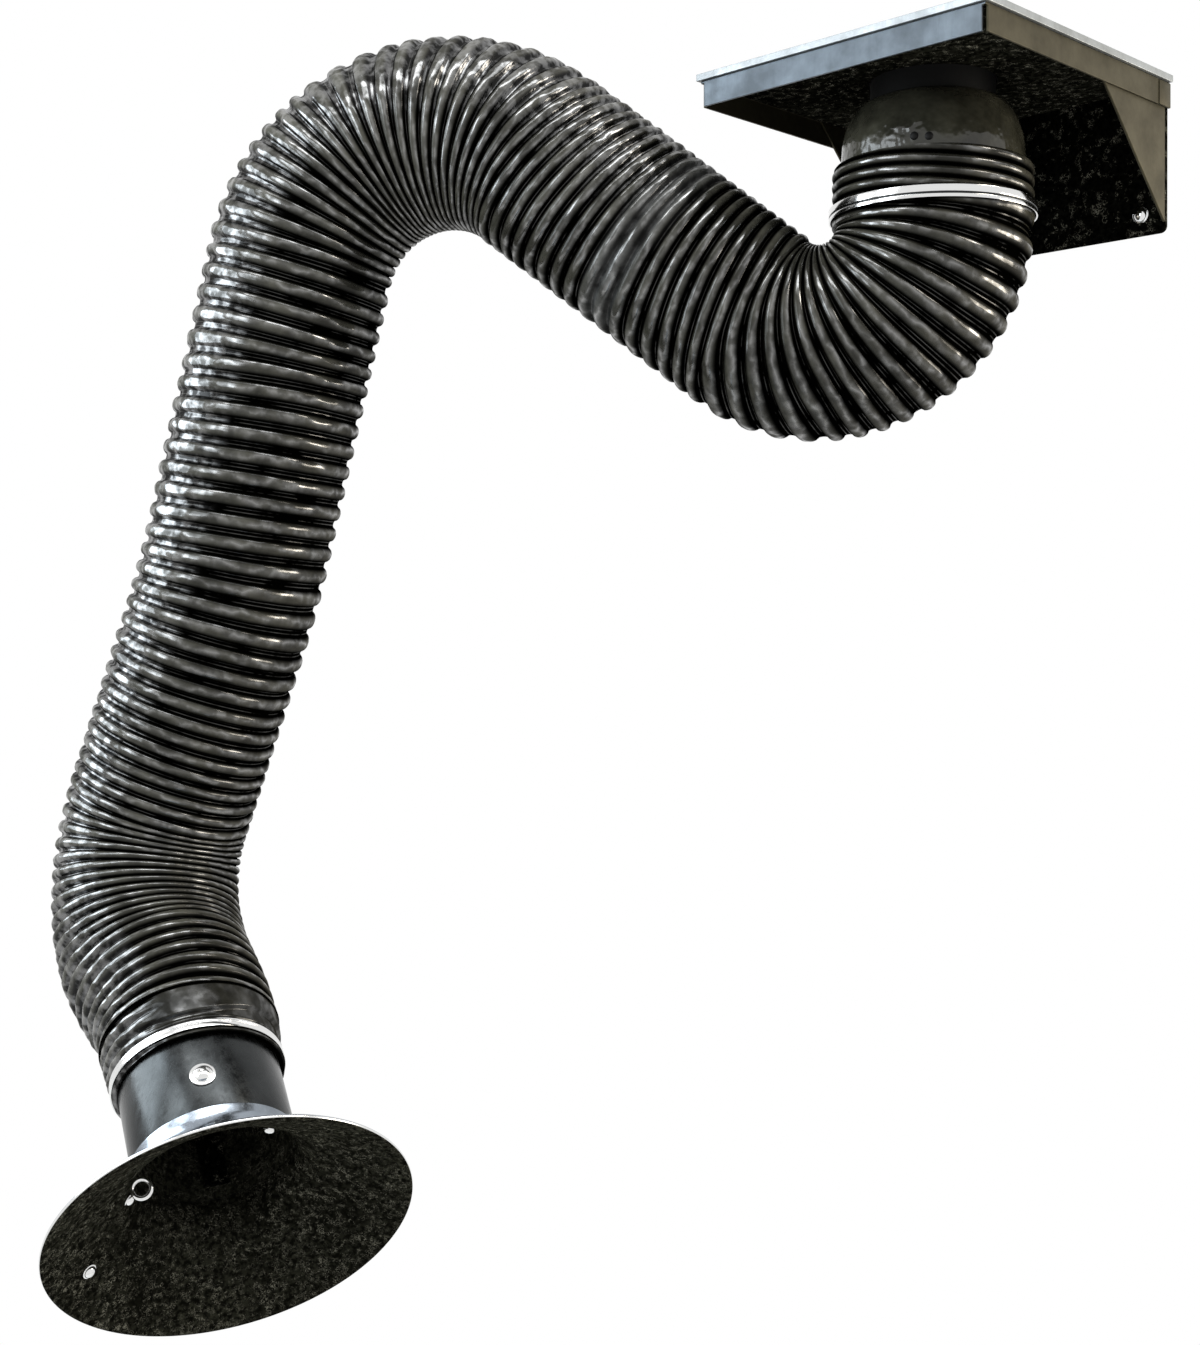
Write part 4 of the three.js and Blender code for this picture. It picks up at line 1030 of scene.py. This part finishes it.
class ARM_OT_clamps(bpy.types.Operator):
    """Makes the two band clamps that hold the hose"""

    bl_idname = "arm.clamps"
    bl_label = "Clamps"

    def execute(self, context):
        sizes = context.scene.arm_sizes
        high, low = (HOSE_START.z - along for along in UPPER_CLAMP)
        bm = band_clamp(HOSE_CREST + GAP, low, high, sizes.turn_steps)
        bm.transform(SWIVEL)
        band = piece_from(bm, "upper_clamp_band", "swivel", "bright_steel", ("upper_clamp",))
        # The band's groove takes the dark collar steel: painted shade in the groove
        groove = [SWIVEL_AT.z + between(low, high, share) for share in (CLAMP_GROOVE[0], CLAMP_GROOVE[-1])]
        second_finish(band, "collar_steel", lambda face: groove[0] < face.center.z < groove[1])
        low, high = (CUFF_START + along for along in LOWER_CLAMP)
        bm = band_clamp(CUFF_RADIUS + GAP, low, high, sizes.turn_steps)
        bm.transform(HOOD)
        piece_from(bm, "lower_clamp_band", "hood", "bright_steel", ("lower_clamp",))
        return {"FINISHED"}


def dish_wall(share):
    """The dish's outer wall as (radius, height), from the throat to the rolled rim."""
    reach, drop = RIM_RADIUS - RIM_ROLL - COLLAR_RADIUS, RIM_AT - RIM_ROLL - THROAT_AT
    return Vector((COLLAR_RADIUS + reach * share, THROAT_AT + drop * share ** DISH_FLARE))


def on_dish(radius, degrees, lift):
    """A place on the dish's inner face, with z out of the face."""
    share = (radius + SHEET - COLLAR_RADIUS) / (RIM_RADIUS - RIM_ROLL - COLLAR_RADIUS)
    before, here, after = (dish_wall(share + step) for step in (-0.02, 0.0, 0.02))
    slope = math.atan2(after.y - before.y, after.x - before.x)
    turn = HOOD @ Matrix.Rotation(math.radians(degrees), 4, "Z")
    foot = turn @ Matrix.Translation((radius, 0, here.y + SHEET))
    return foot @ Matrix.Rotation(-slope, 4, "Y") @ Matrix.Translation((0, 0, lift))


class ARM_OT_hood(bpy.types.Operator):
    """Makes the hood's collar and its dish"""

    bl_idname = "arm.hood"
    bl_label = "Hood"

    COLLAR_ROUNDING = 0.0004
    FILLET_ABOVE = 0.012  # where the neck's fillet starts, above the throat
    FILLET_SHARE = 0.16  # where it ends, as a share of the dish's wall
    SEAM = ((0.0, 0.0), (0.0007, 0.0005), (0.0006, 0.003))  # out from the collar, and along the neck
    CURL = (-0.25, 0.5)  # the rolled rim's start and end, in half turns

    def execute(self, context):
        steps = context.scene.arm_sizes.turn_steps
        axis, origin = HOOD.to_3x3() @ Vector((0, 0, 1)), HOOD.to_translation()

        def outward(face):
            """How far a face looks away from the hood's axis."""
            away = face.center - origin
            return face.normal.dot((away - axis * away.dot(axis)).normalized())

        bore = COLLAR_RADIUS - SHEET
        outline = [(bore, COLLAR_START), (COLLAR_RADIUS, COLLAR_START), (COLLAR_RADIUS, COLLAR_END),
                   (bore, COLLAR_END)]
        bm = turned(rounded(outline, self.COLLAR_ROUNDING), steps)
        bm.transform(HOOD)
        collar = piece_from(bm, "hood_collar_turned", "hood", "collar_steel",
                            ("hood_collar",))
        second_finish(collar, "throat_coat", lambda face: outward(face) < -0.5)

        fillet_start = Vector((COLLAR_RADIUS, THROAT_AT - self.FILLET_ABOVE))
        wall = curve(fillet_start, dish_wall(0.0), dish_wall(self.FILLET_SHARE), 8)
        wall += [dish_wall(between(self.FILLET_SHARE, 1.0, i / 16)) for i in range(1, 16)]
        neck = COLLAR_END + GAP
        outside = [(COLLAR_RADIUS + out, neck + along) for out, along in self.SEAM]
        outside += [tuple(point) for point in wall]
        inside = [(bore, neck)] + [(point.x - SHEET, point.y + SHEET) for point in wall]
        lip = dish_wall(1.0)
        curl = [(lip.x + RIM_ROLL * math.cos(angle), lip.y + RIM_ROLL * math.sin(angle))
                for angle in (math.pi * between(*self.CURL, i / 8) for i in range(9))]
        bm = turned(outside + curl + inside[::-1], steps * 2)
        bm.transform(HOOD)
        dish = piece_from(bm, "hood_dish_turned", "hood", "granular_coat", ("hood_dish",), 50.0)
        second_finish(dish, "neck_steel",
                      lambda face: face.normal.dot(axis) < 0.35 and outward(face) > -0.5)
        edge = origin.dot(axis) + lip.y - RIM_ROLL * 0.3
        second_finish(dish, "bright_steel",
                      lambda face: face.center.dot(axis) > edge and outward(face) > 0.75)
        return {"FINISHED"}


def domed_fixing(head, crown, socket, flange, steps=32):
    """A domed head on z = 0 with a thin flange, and a round socket where its size is given."""
    shoulder = flange * 1.3
    profile = [(0.0, 0.0), (head, 0.0), (head, flange), (head * 0.86, shoulder)]
    for i in range(9):
        angle = i / 8 * math.pi / 2
        out = head * 0.84 * math.cos(angle)
        if out > socket * 1.2:
            profile.append((out, shoulder + (crown - shoulder) * math.sin(angle)))
    if socket:
        top = profile[-1][1]
        profile += [(socket * 1.1, top + crown * 0.06), (socket, top - crown * 0.1)]
        profile.append((socket * 0.92, crown * 0.4))
    profile.append((0.0, crown * 0.35 if socket else crown))
    return turned(profile, steps, closed=False)


class ARM_OT_fixings(bpy.types.Operator):
    """Makes the wall bolts, the hood's screws and its eyelet"""

    bl_idname = "arm.fixings"
    bl_label = "Fixings"

    BOLT_FLANGE = 0.0014
    # Radius of the head, height of the crown, radius of the socket and thickness of the flange
    COLLAR_HEAD = (0.0088, 0.0052, 0.0026, 0.0012)
    DISH_HEAD = (0.0065, 0.0048, 0.0, 0.0010)
    WASHER_BORE = 0.002
    WASHER_RADIUS = 0.011
    WASHER_THICKNESS = 0.001
    WASHER_ROUNDING = 0.0003
    EYELET_TURN = math.radians(-48)

    def execute(self, context):
        def fixing(bm, node, body):
            piece_from(bm, node + "_turned", body, "bright_steel", (node,), 35.0)

        wall_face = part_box("wall_plate")[0].y
        for i in range(1, 5):
            low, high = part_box(f"wall_bolt_{i}")
            bm = domed_fixing((high.x - low.x) / 2, wall_face - low.y, 0.0, self.BOLT_FLANGE)
            middle = (low + high) / 2
            place = Matrix.Translation((middle.x, wall_face, middle.z))
            bm.transform(place @ Matrix.Rotation(math.pi / 2, 4, "X"))
            fixing(bm, f"wall_bolt_{i}", "bracket")
        washer = [(self.WASHER_BORE, 0.0), (self.WASHER_RADIUS, 0.0),
                  (self.WASHER_RADIUS, self.WASHER_THICKNESS), (self.WASHER_BORE, self.WASHER_THICKNESS)]
        for side, sign in (("near", 1), ("far", -1)):
            bm = domed_fixing(*self.COLLAR_HEAD)
            add_copy(bm, turned(rounded(washer, self.WASHER_ROUNDING), 32))
            face = Matrix.Translation((0, sign * (COLLAR_RADIUS + GAP), COLLAR_SCREW))
            bm.transform(HOOD @ face @ Matrix.Rotation(-sign * math.pi / 2, 4, "X"))
            fixing(bm, f"collar_screw_{side}", "hood")
        for i, (radius, degrees) in enumerate(DOME_SCREWS, 1):
            bm = domed_fixing(*self.DISH_HEAD, steps=24)
            bm.transform(on_dish(radius, degrees, GAP))
            fixing(bm, f"dish_screw_{i}", "hood")
        turns = [i * math.pi / 6 for i in range(12)]
        bm = turned([(EYELET_RADIUS + EYELET_WIRE * math.cos(turn), EYELET_WIRE * math.sin(turn))
                     for turn in turns], 32)
        upright = Matrix.Rotation(self.EYELET_TURN, 4, "Z") @ Matrix.Rotation(math.pi / 2, 4, "Y")
        bm.transform(on_dish(*EYELET_AT, EYELET_RADIUS + EYELET_WIRE + GAP) @ upright)
        fixing(bm, "dish_eyelet", "hood")
        return {"FINISHED"}


class ARM_OT_kept_nodes(bpy.types.Operator):
    """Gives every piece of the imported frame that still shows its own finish"""

    bl_idname = "arm.kept_nodes"
    bl_label = "Kept pieces"

    # The finish of each slot whose finish has another name, and of a node that differs from its slot
    SLOTS = {
        "galvanised_steel": "galvanised_sheet", "strip_steel": "plate_edge", "warm_steel": "gusset_sheet",
        "dark_coat": "granular_coat", "bell_coat": "bell_enamel", "gunmetal_steel": "collar_steel",
        "black_vinyl": "hose_vinyl",
    }
    # The hood's fork takes the wall plate's near-black coat: painted shade that sinks it into the dark inside of
    # the hood
    NODES = {"hood_fork": "plate_coat"}

    def execute(self, context):
        for part in frame["record"]["subparts"]:
            node, slot = frame["nodes"][part["node"]], part["material_slot"]
            finish = self.NODES.get(part["node"], self.SLOTS.get(slot, slot))
            node.data.materials.clear()
            node.data.materials.append(finishes()[finish])
        return {"FINISHED"}


# The stage


def add_lamp(name, place, target, size, power, colour):
    """An area lamp that looks at a target."""
    lamp = bpy.data.lights.new(name, "AREA")
    lamp.shape, lamp.size, lamp.size_y = "RECTANGLE", size[0], size[1]
    lamp.energy, lamp.color = power, colour
    holder = bpy.data.objects.new(name, lamp)
    holder.location = place
    holder.rotation_euler = (Vector(target) - Vector(place)).to_track_quat("-Z", "Y").to_euler()
    bpy.context.scene.collection.objects.link(holder)


def floor_material():
    """A pale floor that fades out towards its edge."""
    material = bpy.data.materials.new("pale_floor")
    material.use_nodes = True
    tree = material.node_tree
    shader = tree.nodes["Principled BSDF"]
    shader.inputs["Base Color"].default_value = (0.9, 0.9, 0.9, 1)
    shader.inputs["Roughness"].default_value = 0.8
    place = add_node(tree, "ShaderNodeTexCoord")
    away = add_node(tree, "ShaderNodeVectorMath", operation="LENGTH")
    fade = add_node(tree, "ShaderNodeMapRange", interpolation_type="SMOOTHSTEP",
                    in_From_Min=0.6, in_From_Max=1.7, in_To_Min=1.0, in_To_Max=0.0)
    tree.links.new(place.outputs["Object"], away.inputs[0])
    tree.links.new(away.outputs["Value"], fade.inputs["Value"])
    tree.links.new(fade.outputs["Result"], shader.inputs["Alpha"])
    return material


class ARM_OT_stage(bpy.types.Operator):
    """Makes the camera, the floor, the lamps and the white surroundings"""

    bl_idname = "arm.stage"
    bl_label = "Stage"

    CAMERA_AT = (0.9565, -1.5393, -0.4443)
    CAMERA_TURN = (math.radians(89.7), 0, math.radians(44.43))
    CAMERA_LENS = 51.0
    CAMERA_SENSOR = 36.0
    FLOOR_AT = (-0.3, -0.4, -1.9)
    FLOOR_RADIUS = 1.8
    ARM_MIDDLE = Vector((-0.3, -0.4, -0.4))
    RIGHT, TOWARDS_CAMERA, UP = Vector((0.714, 0.700, 0)), Vector((0.700, -0.714, 0)), Vector((0, 0, 1))
    ROOM_LIGHT = 0.45

    # Each lamp: how far right of the arm's middle, towards the camera and up; its size, power and colour
    LAMPS = (
        ("window_left", -1.70, -0.15, 0.45, (1.20, 1.30), 34.0, (0.84, 0.93, 1.0)),
        ("sky_strip", 0.0, 0.70, 1.85, (2.20, 0.50), 26.0, (0.97, 0.99, 1.0)),
        ("window_front", -1.40, 1.05, 0.75, (0.70, 1.20), 15.0, (0.88, 0.95, 1.0)),
        ("warm_right", 1.75, 0.15, 0.20, (0.90, 0.50), 15.0, (1.0, 0.91, 0.76)),
        ("warm_high", 1.35, 0.55, 1.30, (0.45, 0.45), 9.0, (1.0, 0.92, 0.80)),
    )

    def execute(self, context):
        scene = context.scene
        scene.view_settings.view_transform = "Standard"
        camera = bpy.data.objects.new("camera", bpy.data.cameras.new("camera"))
        camera.data.lens, camera.data.sensor_width = self.CAMERA_LENS, self.CAMERA_SENSOR
        camera.location = self.CAMERA_AT
        camera.rotation_euler = self.CAMERA_TURN
        scene.collection.objects.link(camera)
        scene.camera = camera

        bm = bmesh.new()
        bmesh.ops.create_circle(bm, cap_ends=True, segments=96, radius=self.FLOOR_RADIUS)
        mesh = bpy.data.meshes.new("floor")
        bm.to_mesh(mesh)
        bm.free()
        mesh.materials.append(floor_material())
        floor = bpy.data.objects.new("floor", mesh)
        floor.location = self.FLOOR_AT
        scene.collection.objects.link(floor)

        for name, x, y, z, size, power, colour in self.LAMPS:
            place = self.ARM_MIDDLE + self.RIGHT * x + self.TOWARDS_CAMERA * y + self.UP * z
            add_lamp(name, place, self.ARM_MIDDLE, size, power, colour)

        world = bpy.data.worlds.new("white_room")
        world.use_nodes = True
        tree = world.node_tree
        sky = tree.nodes["Background"]
        sky.inputs["Color"].default_value = (1, 1, 1, 1)
        path = add_node(tree, "ShaderNodeLightPath").outputs
        seen = combine(tree, "MAXIMUM", path["Is Camera Ray"], path["Is Glossy Ray"])
        shown = combine(tree, "MAXIMUM", seen, path["Is Transmission Ray"])
        tree.links.new(ranged(tree, shown, self.ROOM_LIGHT, 1.0), sky.inputs["Strength"])
        scene.world = world
        return {"FINISHED"}


class ARM_PT_pieces(bpy.types.Panel):
    """Lists the arm's pieces and the sizes and colours that they use"""

    bl_label = "Extraction arm"
    bl_idname = "ARM_PT_pieces"
    bl_space_type = "VIEW_3D"
    bl_region_type = "UI"
    bl_category = "Extraction arm"

    def draw(self, context):
        for operator in OPERATORS:
            self.layout.operator(operator.bl_idname)
        for group in (context.scene.arm_sizes, context.scene.arm_finishes):
            column = self.layout.column(align=True)
            for name in group.__annotations__:
                column.prop(group, name)


OPERATORS = (ARM_OT_stage, ARM_OT_kept_nodes, ARM_OT_bracket, ARM_OT_swivel_bell, ARM_OT_hose, ARM_OT_clamps,
             ARM_OT_hood, ARM_OT_fixings)
CLASSES = (ArmSizes, ArmFinishes, *OPERATORS, ARM_PT_pieces)


def register():
    for cls in CLASSES:
        bpy.utils.register_class(cls)
    bpy.types.Scene.arm_sizes = PointerProperty(type=ArmSizes)
    bpy.types.Scene.arm_finishes = PointerProperty(type=ArmFinishes)


def unregister():
    del bpy.types.Scene.arm_finishes
    del bpy.types.Scene.arm_sizes
    for cls in reversed(CLASSES):
        bpy.utils.unregister_class(cls)


def main():
    register()
    for operator in OPERATORS:
        family, name = operator.bl_idname.split(".")
        getattr(getattr(bpy.ops, family), name)()


if __name__ == "__main__":
    main()
